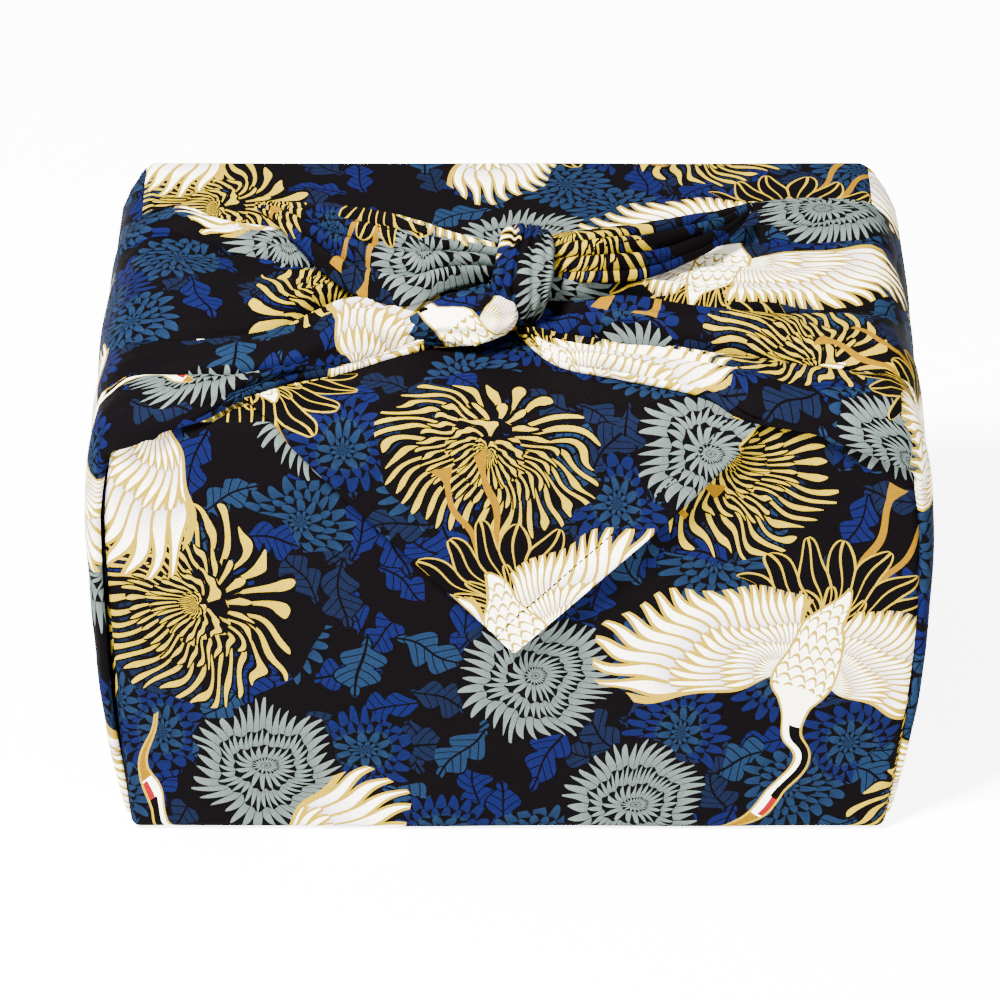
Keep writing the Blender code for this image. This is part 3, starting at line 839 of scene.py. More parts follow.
def crushed(angle, along):
    """Girth of the lobe round its axis, as a share, with its creases."""
    return LOBE_GIRTH - sum(depth * abs(math.sin(angle * count + along * twist)) ** roundness
                            for depth, count, twist, roundness in LOBE_CREASES)


def knot_lobe():
    """The lower loop of the knot, narrower away from the band."""
    points = []
    for ring in range(LOBE_RINGS + 1):
        along = math.cos(math.pi * (ring + POLE_GAP) / (LOBE_RINGS + 2 * POLE_GAP))
        girth = math.sqrt(max(0.0, 1.0 - along * along)) * (1.0 + LOBE_TAPER * along)
        row = []
        for angle in spread(0.0, 2 * math.pi, LOBE_COLUMNS):
            reach = girth * crushed(angle, along)
            x = along * LOBE_RADII.x
            y = math.cos(angle) * reach * LOBE_RADII.y
            z = math.sin(angle) * reach * LOBE_RADII.z
            row.append(LOBE_CENTRE + Vector((x * math.cos(LOBE_TURN) - z * math.sin(LOBE_TURN), y,
                                             x * math.sin(LOBE_TURN) + z * math.cos(LOBE_TURN))))
        points.append(row)
    places = flat_places(points, 0, LOBE_COLUMNS, (0.215, 0.232))
    return make_sheet("knot_lobe", points, [(0, LOBE_COLUMNS, places)], thickness=0.0)


lobe = knot_lobe()

# %% [markdown]
# ## One cloth
# All of these are folds of one square, so they are joined into one sheet, which rides on the frame
# in place of its solid. The walls are sewn together along the box's edges first: their doubled
# points are merged, their faces turned outwards, and then the whole skin gets its thickness.

# %% Join the folds
SEWN_WITHIN = 0.00002


def join_pieces(pieces, name):
    """Apply the pieces' modifiers and join them into one object."""
    bpy.ops.object.select_all(action="DESELECT")
    for piece in pieces:
        bpy.context.view_layer.objects.active = piece
        for modifier in list(piece.modifiers):
            bpy.ops.object.modifier_apply(modifier=modifier.name)
    for piece in pieces:
        piece.select_set(True)
    bpy.context.view_layer.objects.active = pieces[0]
    bpy.ops.object.join()
    joined = bpy.context.view_layer.objects.active
    joined.name = name
    joined.data.name = name
    return joined


body = join_pieces(walls, "wrapped_walls")
sewn = bmesh.new()
sewn.from_mesh(body.data)
bmesh.ops.remove_doubles(sewn, verts=sewn.verts, dist=SEWN_WITHIN)
bmesh.ops.recalc_face_normals(sewn, faces=sewn.faces)
sewn.to_mesh(body.data)
sewn.free()
thicken(body, FABRIC)
print("points in the sewn walls:", len(body.data.vertices))

# %% One piece for the frame
cloth = join_pieces([body, corner, front_flap, right_tail, left_tail, left_end, right_end, band,
                     lobe], "furoshiki_cloth")
triangles = sum(len(face.vertices) - 2 for face in cloth.data.polygons)
area = sum(face.area for face in cloth.data.polygons)
print("cloth triangles:", triangles, "surface", round(area, 3), "square metres")

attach(cloth, "root")
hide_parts("wrap_cloth")

# %% [markdown]
# ## The cotton
# The cloth is fine woven cotton with a dense traditional print: cranes and chrysanthemums over
# blue flowers and leaves on a near-black ground. A print is only colour, so it is drawn by shader
# nodes in the cloth's flat place. Placed by hand they would be hundreds of boxes and wires. Here a
# value on its way between two nodes is a Wire, and plain arithmetic on wires adds the Math nodes.

# %% Nodes and wires
class Wire:
    """A value on its way between shader nodes; it knows the node tree that it lies in."""

    def __init__(self, socket):
        self.tree, self.socket = socket.id_data, socket

    def __rsub__(self, first):
        return calculated(self.tree, "SUBTRACT", first, self)

    def within(self, low, high):
        """1 between two limits, otherwise 0."""
        return self.over(low) * self.under(high)


def plug(made, values):
    """Link wires to a node's inputs, and set the values that aren't wires."""
    for place, value in values.items():
        if isinstance(value, Wire):
            value.tree.links.new(value.socket, made.inputs[place])
        else:
            made.inputs[place].default_value = value


def add_node(tree, kind, values, out=0, **settings):
    """Add a node, set it, plug its inputs and return one output, or all of them with out=None."""
    made = tree.nodes.new(kind)
    for name, value in settings.items():
        setattr(made, name, value)
    plug(made, values)
    if out is None:
        return [Wire(socket) for socket in made.outputs]
    return Wire(made.outputs[out])


def calculated(tree, operation, *values):
    """One Math node."""
    return add_node(tree, "ShaderNodeMath", dict(enumerate(values)), operation=operation)


def vector_math(operation, *values, out=0):
    """One Vector Math node; its first value is a wire."""
    return add_node(values[0].tree, "ShaderNodeVectorMath", dict(enumerate(values)), out,
                    operation=operation)


# a Wire's signs and words, each with the Math node that it adds; under and over give 1 or 0
SIGNS = {"__add__": "ADD", "__radd__": "ADD", "__sub__": "SUBTRACT", "__mul__": "MULTIPLY",
         "__rmul__": "MULTIPLY", "__truediv__": "DIVIDE", "__pow__": "POWER",
         "__abs__": "ABSOLUTE", "under": "LESS_THAN", "over": "GREATER_THAN", "least": "MINIMUM",
         "most": "MAXIMUM", "fraction": "FRACT", "whole": "FLOOR", "sine": "SINE", "root": "SQRT",
         "sign": "SIGN", "angle": "ARCTAN2", "logarithm": "LOGARITHM"}
for word, math_node in SIGNS.items():
    setattr(Wire, word, lambda self, *others, operation=math_node: calculated(
        self.tree, operation, self, *others))
print("signs and words of a wire:", len(SIGNS))


# %% Splitting, mixing and curves
def split(vector):
    """The x and y of a vector."""
    return add_node(vector.tree, "ShaderNodeSeparateXYZ", {0: vector}, None)[:2]


def join(x, y):
    """A flat vector from its x and y."""
    return add_node(x.tree, "ShaderNodeCombineXYZ", {0: x, 1: y})


def mixer(kind, place, out):
    """A function that mixes two values of one kind: the first where share is 0, the second at 1."""
    def mix(share, first, second):
        return add_node(share.tree, "ShaderNodeMix", {0: share, place: first, place + 1: second},
                        out, data_type=kind)
    return mix


mix_number = mixer("FLOAT", 2, 0)
mix_vector = mixer("VECTOR", 4, 1)
mix_colour = mixer("RGBA", 6, 2)


def curve(value, points):
    """A curve through given points, each between 0 and 1."""
    made = value.tree.nodes.new("ShaderNodeFloatCurve")
    line = made.mapping.curves[0]
    line.points[0].location, line.points[1].location = points[:2]
    for point in points[2:]:
        line.points.new(*point)
    made.mapping.update()
    plug(made, {"Value": value})
    return Wire(made.outputs[0])


# %% [markdown]
# ## The colours
# Each colour of such a print has its own stencil, and they are printed one over the other, the dark
# ground first. The values are linear, as shader nodes take them, so dark ones look very small.

# %% Colours of the print
GROUND = (0.0009, 0.0006, 0.0008, 1.0)
NAVY = (0.0022, 0.0040, 0.0125, 1.0)
ROYAL = (0.0021, 0.0034, 0.026, 1.0)
MID_BLUE = (0.0036, 0.0105, 0.026, 1.0)
GREY = (0.068, 0.086, 0.078, 1.0)
GREY_DARK = (0.026, 0.033, 0.032, 1.0)
GOLD = (0.270, 0.182, 0.006, 1.0)
GOLD_DEEP = (0.190, 0.122, 0.004, 1.0)
GOLD_THREAD = (0.230, 0.148, 0.004, 1.0)
WHITE = (0.92, 0.87, 0.66, 1.0)
LILAC = (0.33, 0.28, 0.40, 1.0)
INK = (0.0007, 0.0005, 0.0007, 1.0)
RED = (0.150, 0.0025, 0.0045, 1.0)
ORANGE = (0.125, 0.060, 0.0002, 1.0)
print("white is", round(WHITE[1] / ROYAL[1]), "times as light as royal blue")

# %% [markdown]
# ## Node groups
# A group is a small machine with named sockets that is built once and used in several places: the
# rows of petals below serve every flower and both wings and the tail of a crane.

# %% Groups
def open_group(name, inputs, outputs):
    """A new shader group, and its inputs as wires. Sockets are given as {kind: "names"}."""
    tree = bpy.data.node_groups.new(name, "ShaderNodeTree")
    for way, sockets in (("INPUT", inputs), ("OUTPUT", outputs)):
        for kind, labels in sockets.items():
            for label in labels.split():
                tree.interface.new_socket(label, in_out=way, socket_type="NodeSocket" + kind)
    entry = tree.nodes.new("NodeGroupInput")
    return {socket.name: Wire(socket) for socket in entry.outputs if socket.name}


def close_group(**outputs):
    """Plug the finished wires into the outputs of their group."""
    tree = next(iter(outputs.values())).tree
    plug(tree.nodes.new("NodeGroupOutput"), outputs)
    print("group", tree.name, "has", len(tree.nodes), "nodes")
    return tree


def use_group(group, **inputs):
    """Place a group in the tree of its first input, a wire, and return its outputs by name."""
    made = next(iter(inputs.values())).tree.nodes.new("ShaderNodeGroup")
    made.node_tree = group
    plug(made, inputs)
    return {socket.name: Wire(socket) for socket in made.outputs}


# %% [markdown]
# ## Rows of petals
# Petals overlap like roof tiles: each row shows its tips and covers the roots of the next. They
# could be drawn one by one. It is enough to look at the two rows that can reach a place, with
# their columns shifted by half a petal, and to let the upper one hide the lower one.

# %% Rows of petals
def petal_rows():
    """Overlapping rows of petals or feathers. Column counts across them, Row grows inwards."""
    given = open_group("petal rows", {"Float": "Column Row Width Tip Point Taper Curl Line"},
                       {"Float": "Petal Line Tone Middle"})
    whole = given["Row"].whole()
    inward = given["Row"] - whole
    column = given["Column"] + whole * 0.5
    shapes = []
    for step in (0.0, 1.0):
        depth = inward + step
        bend = given["Curl"] * (2.0 - depth) ** 2.0
        across = abs((column + (0.5 * step) + bend).fraction() - 0.5)
        growing = (depth * given["Tip"]).least(1.0) ** given["Point"]
        half = given["Width"] * growing * (1.0 - given["Taper"] * depth)
        gap = across - half
        present = given["Row"].over(step)
        shapes.append((gap.under(0.0) * present, gap.under(given["Line"]) * present, depth, across))
    (top, top_line, top_depth, top_across), (low, low_line, low_depth, low_across) = shapes
    free = 1.0 - top_line
    return close_group(
        Petal=top + free * low, Line=top_line - top + free * (low_line - low),
        Tone=mix_number(top_line, low_depth, top_depth),
        Middle=mix_number(top_line, low_across, top_across))


rows = petal_rows()

# %% [markdown]
# ## A chrysanthemum
# A flower seen from above is the same rows bent round a centre: the turn round it counts the
# petals, and the logarithm of the distance counts the rows, so petals shrink evenly towards the
# heart.

# %% Bloom
HEART_ROW = 2.0  # from here inwards there are half as many petals
SMALLEST = 0.02  # share of the radius at which the drawing stops
WOBBLE, FINE_WOBBLE = (7.0, 0.05), (17.0, 0.04)  # waves round the bloom, and their height
FULL_TURN = 2.0 * math.pi


def bloom():
    """A chrysanthemum seen from above: rows of petals round a centre, its radius 1."""
    given = open_group(
        "bloom", {"Vector": "Vector", "Float": "Petals Rows Width Tip Point Taper Curl Line"},
        {"Float": "Petal Line Tone Radius"})
    x, y = split(given["Vector"])
    radius = vector_math("LENGTH", given["Vector"], out=1)
    turn = y.angle(x) / FULL_TURN
    uneven = (turn * (WOBBLE[0] * FULL_TURN)).sine() * WOBBLE[1]
    uneven = (turn * (FINE_WOBBLE[0] * FULL_TURN) + 1.0).sine() * FINE_WOBBLE[1] + uneven + 1.04
    inner = (radius * uneven).most(SMALLEST)
    row = inner.logarithm(math.e) * given["Rows"] * -1.0
    # the petals of the heart are twice as long
    heart = row.over(HEART_ROW)
    row = row - (row - HEART_ROW).most(0.0) * 0.5
    petals = given["Petals"] * (1.0 - heart * 0.5)
    shape = {label: given[label] for label in ("Width", "Tip", "Point", "Taper", "Curl")}
    made = use_group(rows, Column=turn * petals + 40.0, Row=row,
                     Line=given["Line"] * petals / inner, **shape)
    return close_group(Petal=made["Petal"], Line=made["Line"], Tone=made["Tone"], Radius=radius)


flower = bloom()

# %% [markdown]
# ## The crane
# A crane is a fan of feathers for each wing, a fan of black plumes for the tail and one long curved
# shape for body, neck, head and beak. Wings and tail never show at the same place, so one set of
# feather rows draws both: it takes the wing's numbers inside the wing and the tail's elsewhere.

# %% Numbers of the wings and the tail
SHOULDER = (0.003, 0.005)  # metres from the crane's middle
WING_REACH = 0.064
WING_OUTLINE = ((0.0, 0.44), (0.35, 0.55), (0.72, 0.88), (0.90, 1.0), (1.0, 0.90))
# angles of the inner feathers and of the leading edge, and how far the two wings differ in each
INNER_FEATHER, LEADING_EDGE = (2.95, 0.14), (1.06, 0.26)
WING_SWEEP = 5.0  # radians to a metre: the feathers bend backwards
FEATHERS = 18.0
FEATHER_ROWS, ROW_CROWDING = 4.2, 1.6  # the rows crowd together towards the tips
ARM_SHARE, ARM_REACH = (-0.03, 1.025), 0.94  # how far the gold line of the arm goes
TAIL_START = -0.012
TAIL_SPREAD = 0.62
PLUMES = 5.6
PLUME_ROWS, PLUME_LENGTH = 2.1, 58.0  # rows at the root, and rows to a metre
RIB = 0.035
GOLD_LINE = 0.0011
WIDEST_LINE = 0.34
CLOSEST = 0.002  # keeps distances off zero
print("a wing is", WING_REACH, "m long and has", round(FEATHERS), "feathers")


# %% Wings and tail
def feathers():
    """Both wings and the tail of a crane: feather and line masks, tone, and where the tail is."""
    given = open_group("crane feathers", {"Vector": "Vector"}, {"Float": "Feather Line Tone Tail"})
    x, y = split(given["Vector"])
    side = y.sign()
    across = abs(y)
    # the wing: its share of the fan runs from the inner feathers, 0, to the leading edge, 1
    wing_x = x - SHOULDER[0]
    wing_y = across - SHOULDER[1]
    radius = (wing_x * wing_x + wing_y * wing_y).root().most(CLOSEST)
    first, last = (side * differs + angle for angle, differs in (INNER_FEATHER, LEADING_EDGE))
    sweep = radius * WING_SWEEP
    share = (wing_y.angle(wing_x) - sweep - first) / (last - first)
    near = radius / (curve(share, WING_OUTLINE) * WING_REACH)
    wing_row = (1.0 - near).most(0.0) ** ROW_CROWDING * FEATHER_ROWS
    in_wing = share.within(0.0, 1.0)
    on_wing = in_wing * near.under(1.0)
    # the tail: a fan of pointed plumes behind the body
    tail_x = TAIL_START - x
    tail_radius = (tail_x * tail_x + across * across).root().most(CLOSEST)
    tail_share = across.angle(tail_x) / 2.0
    tail_row = tail_radius * -PLUME_LENGTH + PLUME_ROWS
    # one set of rows for both: the tail's number, and the wing's
    column, row, tip, line_scale, spacing, shown = (
        mix_number(on_wing, tail, wing) for tail, wing in (
            (tail_share * PLUMES, share * FEATHERS + 8.0), (tail_row, wing_row),
            (1.5, share * -3.6 + 5.0), (PLUMES / 3.0, FEATHERS / 1.9), (tail_radius, radius),
            (tail_share.under(TAIL_SPREAD), 1.0)))
    line = (line_scale * GOLD_LINE / spacing).least(WIDEST_LINE)
    made = use_group(rows, Column=column, Row=row, Width=0.5 - line * 0.5, Tip=tip, Point=0.6,
                     Taper=0.0, Curl=0.0, Line=line)
    rib = made["Middle"].under(RIB) * (1.0 - on_wing)
    edge = share.within(*ARM_SHARE) * near.under(ARM_REACH)
    lines = made["Line"].most(rib * made["Petal"]) * shown
    return close_group(Feather=made["Petal"] * shown, Line=lines.most(edge - in_wing * edge),
                       Tone=made["Tone"], Tail=(1.0 - on_wing) * (1.0 - edge))


wings_and_tail = feathers()

# %% [markdown]
# The body follows one curved line from tail to beak. One curve says how far that line swings, and
# another how thick the bird is along it. Bands across the line give the black throat, the red cap
# and the beak.

# %% Numbers of the body and the legs
BODY_LENGTH = 0.108
BODY_START = -0.030
BODY_HALF = 0.0088
NECK_SWING = 0.044
BODY_LINE = ((0.0, 0.50), (0.30, 0.50), (0.48, 0.60), (0.62, 0.80), (0.74, 0.74), (1.0, 0.34))
BODY_OUTLINE = ((0.0, 0.05), (0.10, 0.50), (0.28, 0.98), (0.42, 0.62), (0.52, 0.32), (0.68, 0.24),
                (0.735, 0.32), (0.79, 0.24), (0.83, 0.14), (1.0, 0.015))
# shares of the body's line at which each part starts and ends
BODY_AT = (0.0, 0.985)
SCALES_AT = (0.04, 0.36)
THROAT_AT = (0.47, 0.725)
CAP_AT = (0.725, 0.785)
BEAK_FROM = 0.79
THROAT_BELOW, CAP_ABOVE = -0.2, 0.1  # how near the middle they come, in half thicknesses
SCALE_ROWS = 26.0
SCALE_WIDTH = 0.0036
SCALE_BEND, SCALE_LINE = 2.6, (0.12, 0.16)  # roundness; place and half width of the line in a row
LEGS_AT = (-0.072, -0.022)
FEET_FROM = -0.066
LEGS_BEHIND, LEGS_BESIDE = 0.030, 0.004  # where they start from the crane's middle
LEG_SLOPE, LEG_PARTING = 0.16, 0.09
LEG_GAP, LEG_HALF, FOOT_SPREAD = 0.0036, 0.0011, 0.35
print("from tail to beak a crane is", BODY_LENGTH, "m long")


# %% Body and whole bird
def legs(x, y):
    """Two thin legs that trail behind and part towards their feet: their mask."""
    back = x + LEGS_BEHIND
    stride = abs(abs(y - LEGS_BESIDE + back * LEG_SLOPE) - LEG_GAP + back * LEG_PARTING)
    foot = ((FEET_FROM - x) * FOOT_SPREAD).most(0.0) + LEG_HALF
    return stride.under(foot) * x.within(*LEGS_AT)


def crane():
    """A flying crane, its head towards +x: its colour and its mask. Sizes in metres."""
    given = open_group("crane", {"Vector": "Vector"}, {"Color": "Color", "Float": "Mask"})
    x, y = split(given["Vector"])
    fan = use_group(wings_and_tail, Vector=given["Vector"])
    # the roots of each row of feathers lie in the shade of the row above
    shade = (fan["Tone"] * 1.2 - 0.40).most(0.0).least(1.0)
    feather = mix_colour(fan["Tail"], mix_colour(shade, WHITE, LILAC), INK)
    colour = mix_colour(fan["Line"], feather, GOLD_THREAD)
    mask = fan["Feather"].most(fan["Line"])
    leg = legs(x, y) * (1.0 - mask)
    colour = mix_colour(leg, colour, ORANGE)
    mask = mask.most(leg)
    along = (x - BODY_START) / BODY_LENGTH
    off = y - (curve(along, BODY_LINE) - 0.5) * NECK_SWING
    half = curve(along, BODY_OUTLINE) * BODY_HALF
    present = along.within(*BODY_AT)
    away = abs(off)
    body = away.under(half) * present
    rim = away.under(half + 0.8 * GOLD_LINE) * present
    throat = along.within(*THROAT_AT) * off.over(half * THROAT_BELOW)
    cap = along.within(*CAP_AT) * off.over(half * CAP_ABOVE)
    # scales of small feathers over the back, thinning out towards the neck
    scale_row = along * SCALE_ROWS
    scale_column = (off / SCALE_WIDTH + scale_row.whole() * 0.5).fraction() - 0.5
    scallop = scale_row.fraction() - scale_column * scale_column * SCALE_BEND - SCALE_LINE[0]
    scallop = abs(scallop).under(SCALE_LINE[1]) * along.within(*SCALES_AT)
    tint = WHITE
    for part, paint in ((scallop, GOLD_THREAD), (throat, INK), (cap, RED),
                        (along.over(BEAK_FROM), ORANGE), (rim - body, GOLD_THREAD)):
        tint = mix_colour(part, tint, paint)
    return close_group(Color=mix_colour(rim, colour, tint), Mask=mask.most(rim))


bird = crane()

# %% [markdown]
# ## Where the motifs stand
# The large motifs stand where they are listed, in a square that repeats over the cloth. A
# WRAP node measures from each one in the nearest copy of that square, so nothing is cut at its
# edges. Leaves and blue flowers are scattered: a Voronoi texture finds the nearest of its loose
# points, and its colour turns each of them another way.

# %% Places of the motifs
TILE = 0.33
Motif = namedtuple("Motif", "x y turn size")
GOLD_BLOOMS = [Motif(*row) for row in (
    (0.052, 0.050, 20, 0.037), (0.205, 0.095, -30, 0.039), (0.105, 0.215, 75, 0.035),
    (0.285, 0.250, 140, 0.038), (0.180, 0.300, 200, 0.034))]
GREY_BLOOMS = [Motif(*row) for row in (
    (0.105, 0.098, 0, 0.026), (0.163, 0.045, 40, 0.025), (0.262, 0.062, 100, 0.026),
    (0.030, 0.140, 75, 0.025), (0.185, 0.175, 10, 0.027), (0.300, 0.150, 55, 0.026),
    (0.062, 0.275, 20, 0.027), (0.222, 0.262, 88, 0.024), (0.318, 0.305, 33, 0.025))]
CRANES = [Motif(*row) for row in (
    (0.140, 0.140, 25, 1.00), (0.292, 0.020, 160, 1.00), (0.030, 0.215, -65, 1.02),
    (0.228, 0.215, 205, 0.98), (0.110, 0.005, -20, 0.95))]


def nearest(place, motifs):
    """The place seen from the nearest motif, turned with it and measured in its size."""
    best, local = None, None
    window = Vector((TILE / 2, TILE / 2, 1.0))
    for motif in motifs:
        centre = Vector((motif.x, motif.y, 0.0))
        near = vector_math("WRAP", place, centre + window, centre - window)
        seen = add_node(near.tree, "ShaderNodeMapping",
                        {"Vector": near, "Location": centre,
                         "Rotation": (0.0, 0.0, math.radians(motif.turn)),
                         "Scale": (motif.size,) * 3}, vector_type="TEXTURE")
        away = vector_math("LENGTH", seen, out=1)
        if best is None:
            best, local = away, seen
        else:
            local = mix_vector(away.under(best), local, seen)
            best = away.least(best)
    return local, best


LOOSENESS = 0.75  # of scattered points; 0 would be a plain grid


def scattered(place, spacing, seed):
    """The place seen from the nearest point of a scattered grid, turned at random, and a chance."""
    scaled = vector_math("MULTIPLY_ADD", place, (1.0 / spacing,) * 3, (seed, seed * 0.37, 0.0))
    cell = add_node(scaled.tree, "ShaderNodeTexVoronoi", {"Vector": scaled, "Scale": 1.0,
                    "Randomness": LOOSENESS}, None, voronoi_dimensions="2D", feature="F1")
    local = vector_math("SUBTRACT", scaled, cell[2])
    turn, chance = split(cell[1])
    turned = add_node(turn.tree, "ShaderNodeVectorRotate", {
        "Vector": local, "Angle": turn * FULL_TURN}, rotation_type="Z_AXIS")
    return turned, chance


print("motifs in one repeat:", len(GOLD_BLOOMS), len(GREY_BLOOMS), len(CRANES))

# %% [markdown]
# ## Leaves
# A leaf is an outline with lobes and a line down its middle. Two scatterings of different spacing,
# one over the other, hide the regular grid that both come from.

# %% Leaves
LEAF_HALF_LENGTH = 0.62
LEAF_HALF_WIDTH = 0.17
LOBES, LOBE_REACH = 7.6, 0.19
MIDRIB, OUTLINE = 0.018, 0.035
VEINS, VEIN_SLANT, VEIN_SHARE = 6.0, 0.8, 0.13
LEAF_SCATTERINGS = ((0.0195, 3.0), (0.0225, 11.0))  # spacings and seeds
NO_LEAF, NAVY_LEAF, ROYAL_LEAF = 0.36, 0.62, 0.82  # chances up to which it is missing or so dyed


def leaf(local):
    """A leaf along x with a midrib and side veins: its mask and its lines."""
    x, y = split(local)
    along = x / LEAF_HALF_LENGTH
    lobes = abs((x * LOBES).sine()) * LOBE_REACH
    half = (1.0 - along * along) * (lobes + LEAF_HALF_WIDTH)
    away = abs(y)
    vein = ((x - away * VEIN_SLANT) * VEINS).fraction().under(VEIN_SHARE)
    return away.under(half), away.under(MIDRIB).most(vein).most(away.over(half - OUTLINE))


def with_leaves(place, colour):
    """Print the leaves over a colour."""
    for spacing, seed in LEAF_SCATTERINGS:
        local, chance = scattered(place, spacing, seed)
        shape, line = leaf(local)
        tint = mix_colour(chance.over(ROYAL_LEAF), ROYAL, MID_BLUE)
        tint = mix_colour(chance.over(NAVY_LEAF), NAVY, tint)
        tint = mix_colour(line, tint, INK)
        colour = mix_colour(shape * chance.over(NO_LEAF), colour, tint)
    return colour


# %% [markdown]
# ## Flowers
# One bloom is drawn at each place: gold lies over grey and grey over blue. All three are the same
# group with other numbers, chosen by masks, which renders faster than three groups would. A gold
# bloom is seen from the side: its petals rise from low down and fall to both sides. A blue flower
# has a greener heart, or is greener all over.

# %% Flowers
BLUE_SPACING, BLUE_SEED = 0.040, 5.0
BLUE_SHRINK = 2.25
NO_BLUE, ROYAL_BLUE = 0.30, 0.66  # chances up to which a blue flower is missing or royal blue
GREEN_HEART = 0.5
GOLD_FLATTER, GOLD_LOW = (0.96, 1.15), 0.12  # stretches a gold bloom and puts its heart low
GOLD_CURL, GREY_CURL = 0.70, 0.35
SHADE_GAIN, SHADE_FROM = 0.6, 0.1
# the bloom group's numbers for a blue, a grey and a gold flower
FLOWERS = {"Petals": (20.0, 42.0, 34.0), "Rows": (2.7, 2.1, 2.0), "Width": (0.430, 0.455, 0.265),
           "Tip": (1.3, 1.5, 3.5), "Point": (0.42, 0.70, 0.55), "Taper": (0.0, 0.0, 0.42),
           "Line": (0.015, 0.011, 0.004)}


def with_flowers(place, colour):
    """Print blue, grey and gold blooms over a colour."""
    blue_local, chance = scattered(place, BLUE_SPACING, BLUE_SEED)
    blue_local = add_node(chance.tree, "ShaderNodeVectorMath", {0: blue_local, 3: BLUE_SHRINK},
                          operation="SCALE")
    grey_local, grey_away = nearest(place, GREY_BLOOMS)
    gold_local, gold_away = nearest(place, GOLD_BLOOMS)
    x, y = split(gold_local)
    gold_local = join(x * GOLD_FLATTER[0], y * GOLD_FLATTER[1] + GOLD_LOW)
    gold = gold_away.under(1.0)
    grey = grey_away.under(1.0) * (1.0 - gold)
    blue = 1.0 - gold - grey
    local = mix_vector(gold, mix_vector(grey, blue_local, grey_local), gold_local)
    x, y = split(vector_math("NORMALIZE", local))
    shape = {label: gold * (golds - blues) + grey * (greys - blues) + blues
             for label, (blues, greys, golds) in FLOWERS.items()}
    made = use_group(flower, Vector=local, Curl=gold * x * GOLD_CURL + grey * y * GREY_CURL,
                     **shape)
    greener = made["Radius"].under(GREEN_HEART).most(chance.over(ROYAL_BLUE))
    light = mix_colour(grey, mix_colour(greener, ROYAL, MID_BLUE), GREY)
    light = mix_colour(gold, light, GOLD)
    deep = mix_colour(gold, mix_colour(grey, NAVY, GREY_DARK), GOLD_DEEP)
    shade = (made["Tone"] * SHADE_GAIN - SHADE_FROM).least(1.0).most(0.0)
    tint = mix_colour(shade, light, deep)
    shown = 1.0 - blue * chance.under(NO_BLUE)
    colour = mix_colour(made["Petal"] * shown, colour, tint)
    return mix_colour(made["Line"] * shown, colour, INK)


# %% [markdown]
# ## The whole print
# Stencils are cut by hand, so every edge wanders a little. Two slow sine waves shift the place that
# all motifs are drawn at. Then leaves, flowers and cranes go over the dark ground in turn.

# %% The printed pattern
WANDER = 0.0011
WANDER_WAVES = (260.0, 310.0, 0.0)


def printed_pattern():
    """The whole print on the flat cloth: its colour."""
    given = open_group("furoshiki print", {"Vector": "Vector"}, {"Color": "Color"})
    x, y = split(given["Vector"])
    wave = vector_math("MULTIPLY_ADD", join(y, x), WANDER_WAVES, (1.0, 2.0, 0.0))
    wave = vector_math("SINE", wave)
    place = vector_math("MULTIPLY_ADD", wave, (WANDER,) * 3, given["Vector"])
    colour = with_flowers(place, with_leaves(place, GROUND))
    local, _ = nearest(place, CRANES)
    flying = use_group(bird, Vector=local)
    return close_group(Color=mix_colour(flying["Mask"], colour, flying["Color"]))


pattern = printed_pattern()

# %% [markdown]
# ## The weave
# The weave is far finer than the print: a tiny over-and-under relief, and threads that are a little
# lighter or darker than each other. An image of cloth would show its repeat. Two sine waves that
# cross, and a noise for the slubs of the yarn, never do.

# %% Weave
THREADS_PER_METRE = 2600.0
SLUB_SCALE = 900.0


def weave():
    """Over-and-under relief of a plain weave, and the unevenness of its threads."""
    given = open_group("plain weave", {"Vector": "Vector"}, {"Float": "Height Thread"})
    x, y = split(given["Vector"])
    warp = (x * (THREADS_PER_METRE * math.pi)).sine()
    weft = (y * (THREADS_PER_METRE * math.pi)).sine()
    slub = add_node(x.tree, "ShaderNodeTexNoise", {"Vector": given["Vector"], "Scale": SLUB_SCALE,
                    "Detail": 1.0}, noise_dimensions="2D")
    return close_group(Height=warp * weft * 0.5 + slub, Thread=slub)


woven_cloth = weave()

# %% [markdown]
# ## The finish
# Cotton is matt: rough, with next to no gloss. Print and threads run along the edges of the square,
# which lies turned by an eighth of a turn under the box, so a Mapping node turns them. The stitches
# of the hem are drawn in the second map, at a steady distance from the edge.

# %% Material
PRINT_TURN = math.radians(45.0)
PRINT_SHIFT = (0.11, 0.0, 0.0)
STITCHES_PER_METRE = 420.0
STITCH_SHARE = 0.66  # of each step is thread, the rest a gap
STITCH_HALF_WIDTH = 0.00025
THREAD_FADE = 0.35  # how much the ground shows between the dyed threads
ROUGH, ROUGHER = 0.72, 0.15  # everywhere, and added by the threads
GLOSS = 0.012
RELIEF = {"Strength": 0.35, "Distance": 0.00012}


def uv_place(tree, name):
    """A UV map of the cloth as a wire."""
    return add_node(tree, "ShaderNodeUVMap", {}, uv_map=name)


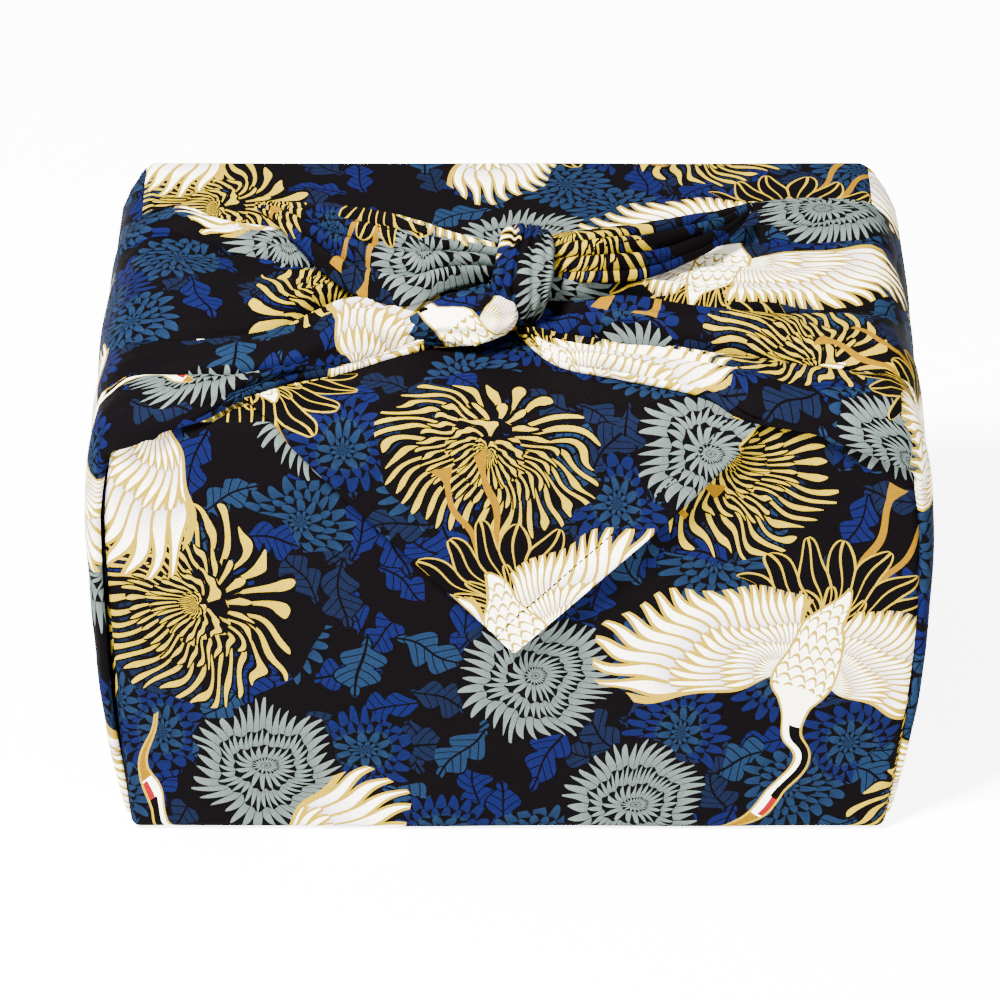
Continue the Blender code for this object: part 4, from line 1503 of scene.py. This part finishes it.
def cotton_material():
    """Printed cotton, drawn in the cloth's own flat map."""
    cotton = bpy.data.materials.new("printed_cotton")
    cotton.use_nodes = True
    tree = cotton.node_tree
    place = add_node(tree, "ShaderNodeMapping", {
        "Vector": uv_place(tree, "cloth"), "Location": PRINT_SHIFT,
        "Rotation": (0.0, 0.0, PRINT_TURN)})
    to_edge, along_edge = split(uv_place(tree, "hem"))
    stitch = (abs(to_edge - HEM_WIDTH).under(STITCH_HALF_WIDTH)
              * (along_edge * STITCHES_PER_METRE).fraction().under(STITCH_SHARE))
    colour = mix_colour(stitch, use_group(pattern, Vector=place)["Color"], INK)
    woven = use_group(woven_cloth, Vector=place)
    plug(tree.nodes["Principled BSDF"], {
        "Base Color": mix_colour(woven["Thread"] * THREAD_FADE, colour, GROUND),
        "Roughness": woven["Thread"] * ROUGHER + ROUGH,
        "Specular IOR Level": GLOSS,
        "Normal": add_node(tree, "ShaderNodeBump", {"Height": woven["Height"], **RELIEF})})
    return cotton


cloth.data.materials.clear()
cloth.data.materials.append(cotton_material())
print("materials of the cloth:", [material.name for material in cloth.data.materials])

# %% [markdown]
# ## The floor
# A product stands on plain white paper. A white floor lit like the cloth would come out grey, and
# a stronger light would bleach the cloth. So the paper glows, but only for what the camera sees
# directly: a Light Path node switches the glow off for every other ray, and the paper lights
# nothing.

# %% Floor
FLOOR_SIZE = 12.0
FLOOR_AT = -0.0005
FLOOR_COLOUR = (0.93, 0.93, 0.93, 1.0)
FLOOR_GLOW = 6.5
FLOOR_ROUGHNESS = 0.9
bpy.ops.object.select_all(action="DESELECT")
bpy.ops.mesh.primitive_plane_add(size=FLOOR_SIZE, location=(0.0, 0.0, FLOOR_AT))
floor = bpy.context.object
floor.name = "floor"
paper = bpy.data.materials.new("floor_paper")
paper.use_nodes = True
seen_directly = add_node(paper.node_tree, "ShaderNodeLightPath", {})
plug(paper.node_tree.nodes["Principled BSDF"], {
    "Base Color": FLOOR_COLOUR, "Roughness": FLOOR_ROUGHNESS, "Emission Color": FLOOR_COLOUR,
    "Emission Strength": seen_directly * FLOOR_GLOW})
floor.data.materials.append(paper)
print("floor at", FLOOR_AT, "m")

# %% [markdown]
# ## Light and camera
# One soft lamp high on the left gives the folds their shade, a large weak one opens the shadows in
# front, and a white world fills the rest. The camera looks down at the wrap through a long lens
# from far off, which keeps its edges nearly parallel.

# %% Lights
KEY_PLACE, KEY_POWER, KEY_SIZE = (-0.75, -0.85, 1.75), 430.0, 0.42
FILL_PLACE, FILL_POWER, FILL_SIZE = (0.9, -1.6, 0.8), 40.0, 1.2
AIM = Vector((0.0, 0.0, 0.08))
WORLD_STRENGTH = 1.8


def area_light(name, place, power, size):
    """A square studio light aimed at the wrap."""
    light = bpy.data.lights.new(name, "AREA")
    light.energy = power
    light.size = size
    obj = bpy.data.objects.new(name, light)
    obj.location = place
    obj.rotation_euler = (AIM - Vector(place)).to_track_quat("-Z", "Y").to_euler()
    bpy.context.scene.collection.objects.link(obj)


area_light("key", KEY_PLACE, KEY_POWER, KEY_SIZE)
area_light("fill", FILL_PLACE, FILL_POWER, FILL_SIZE)
world = bpy.data.worlds.new("studio")
world.use_nodes = True
plug(world.node_tree.nodes["Background"], {"Color": (1.0,) * 4, "Strength": WORLD_STRENGTH})
bpy.context.scene.world = world
print("lights:", [light.name for light in bpy.data.lights])

# %% Camera
CAMERA_PLACE = (-0.0030, -1.5202, 0.9507)
CAMERA_DOWN = 30.0
CAMERA_LENS = 186.84
camera_data = bpy.data.cameras.new("camera")
camera_data.lens = CAMERA_LENS
camera_data.sensor_width = 36.0
camera = bpy.data.objects.new("camera", camera_data)
camera.location = CAMERA_PLACE
camera.rotation_euler = (math.radians(90.0 - CAMERA_DOWN), 0.0, 0.0)
bpy.context.scene.collection.objects.link(camera)
bpy.context.scene.camera = camera
print("camera looks down by", CAMERA_DOWN, "degrees")
